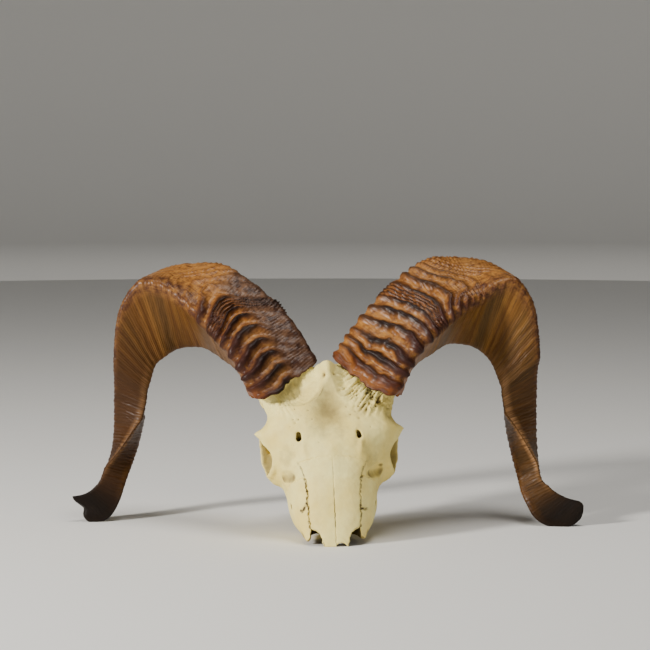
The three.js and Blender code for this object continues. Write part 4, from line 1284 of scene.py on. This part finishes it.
def horn(name, side_name, weathered_and_shaded, rust_to, **changes):
    """One sheath: its blank with the ribs pressed in, in varnished horn, placed on its node."""
    blank, length = horn_blank(name + "_blank", side_name)
    modifier = blank.modifiers.new("ribs", "NODES")
    modifier.node_group = RIB_TREE
    sockets = {item.name: item.identifier for item in RIB_TREE.interface.items_tree
               if item.item_type == "SOCKET" and item.in_out == "INPUT"}
    for label, value in changes.items():
        modifier[sockets[label.replace("_", " ")]] = value
    modifier[sockets["Worn From"]] = length - TIP_WORN
    modifier[sockets["Horn Material"]] = horn_material(name + "_varnished", weathered_and_shaded, length, rust_to)
    view = bpy.context.evaluated_depsgraph_get()
    mesh = bpy.data.meshes.new_from_object(blank.evaluated_get(view), preserve_all_data_layers=True,
                                           depsgraph=view)
    bpy.data.objects.remove(blank)
    piece = new_object(name, mesh)
    place = np.empty(len(mesh.vertices) * 3, np.float32)
    mesh.vertices.foreach_get("co", place)
    place[2::3] = np.maximum(place[2::3], 0)  # nothing below the table
    mesh.vertices.foreach_set("co", place)
    mesh.update()
    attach(piece, "root")
    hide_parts(name[7:])


# the third value weathers the left horn and paints shade on its inner side and lower limb
horn("sheath_horn_left", "left", 1.0, -40, Fade_From=-8.0, Fade_To=0.10, Late_Fade=0.72, Seed=1.0)
horn("sheath_horn_right", "right", 0.0, 110, Fade_To=0.66, Fade_From=20.0, Check_End=104.0, Seed=7.0)

# ---------------------------------------------------------------------------
# Camera, light and table.
CAMERA_AT = (-0.00163, -2.29293, 0.400)
camera = new_object("camera", bpy.data.cameras.new("camera"))
camera.location, camera.rotation_euler = CAMERA_AT, (math.radians(85), 0, 0)
camera.data.sensor_width, camera.data.lens = 36, 132.4
bpy.context.scene.camera = camera


def soft_lamp(name, place, aim, size, power, colour):
    lamp = new_object(name, bpy.data.lights.new(name, "AREA"))
    lamp.data.shape, lamp.data.size, lamp.data.energy, lamp.data.color = "DISK", size, power, colour
    lamp.location = place
    lamp.rotation_euler = (Vector(aim) - Vector(place)).to_track_quat("-Z", "Y").to_euler()


# name, place and aim in m, width in m, power in W, colour
soft_lamp("key", (-1.95, -1.35, 1.0), (0, 0, 0.12), 0.4, 96, (1, 0.97, 0.92))
soft_lamp("top", (0.2, -0.2, 2.0), (0, 0, 0.1), 0.7, 20, (1, 0.97, 0.93))
soft_lamp("fill", (1.3, -2.2, 0.6), (0, 0, 0.1), 1.0, 7, (1, 0.98, 0.96))

# a round sheet of pale paper, flat under the skull and rising to a low wall far away
PAPER_PROFILE = [(0.0, 0.0), (3.6, 0.0), (4.2, 0.06), (4.7, 0.28), (5.05, 0.7), (5.2, 1.3), (5.25, 2.4)]
PAPER_TURNS = 96
floor = new_object("floor", bpy.data.meshes.new("floor"))
paper_points = [(r * math.cos(2 * math.pi * i / PAPER_TURNS), r * math.sin(2 * math.pi * i / PAPER_TURNS), z)
                for r, z in PAPER_PROFILE[1:] for i in range(PAPER_TURNS)]
paper_faces = [tuple(range(PAPER_TURNS))]
for level in range(len(PAPER_PROFILE) - 2):
    for i in range(PAPER_TURNS):
        a, b = level * PAPER_TURNS + i, level * PAPER_TURNS + (i + 1) % PAPER_TURNS
        paper_faces.append((a, b, b + PAPER_TURNS, a + PAPER_TURNS))
floor.data.from_pydata(paper_points, [], paper_faces)
for polygon in floor.data.polygons[1:]:
    polygon.use_smooth = True
paper, tree, surface = new_material("paper")
surface.inputs["Base Color"].default_value = (0.78, 0.77, 0.74, 1)
surface.inputs["Roughness"].default_value = 0.9
floor.data.materials.append(paper)

world = bpy.data.worlds.new("studio")
bpy.context.scene.world = world
world.use_nodes = True
world.node_tree.nodes["Background"].inputs[0].default_value = (0.82, 0.83, 0.84, 1)
world.node_tree.nodes["Background"].inputs[1].default_value = 0.12
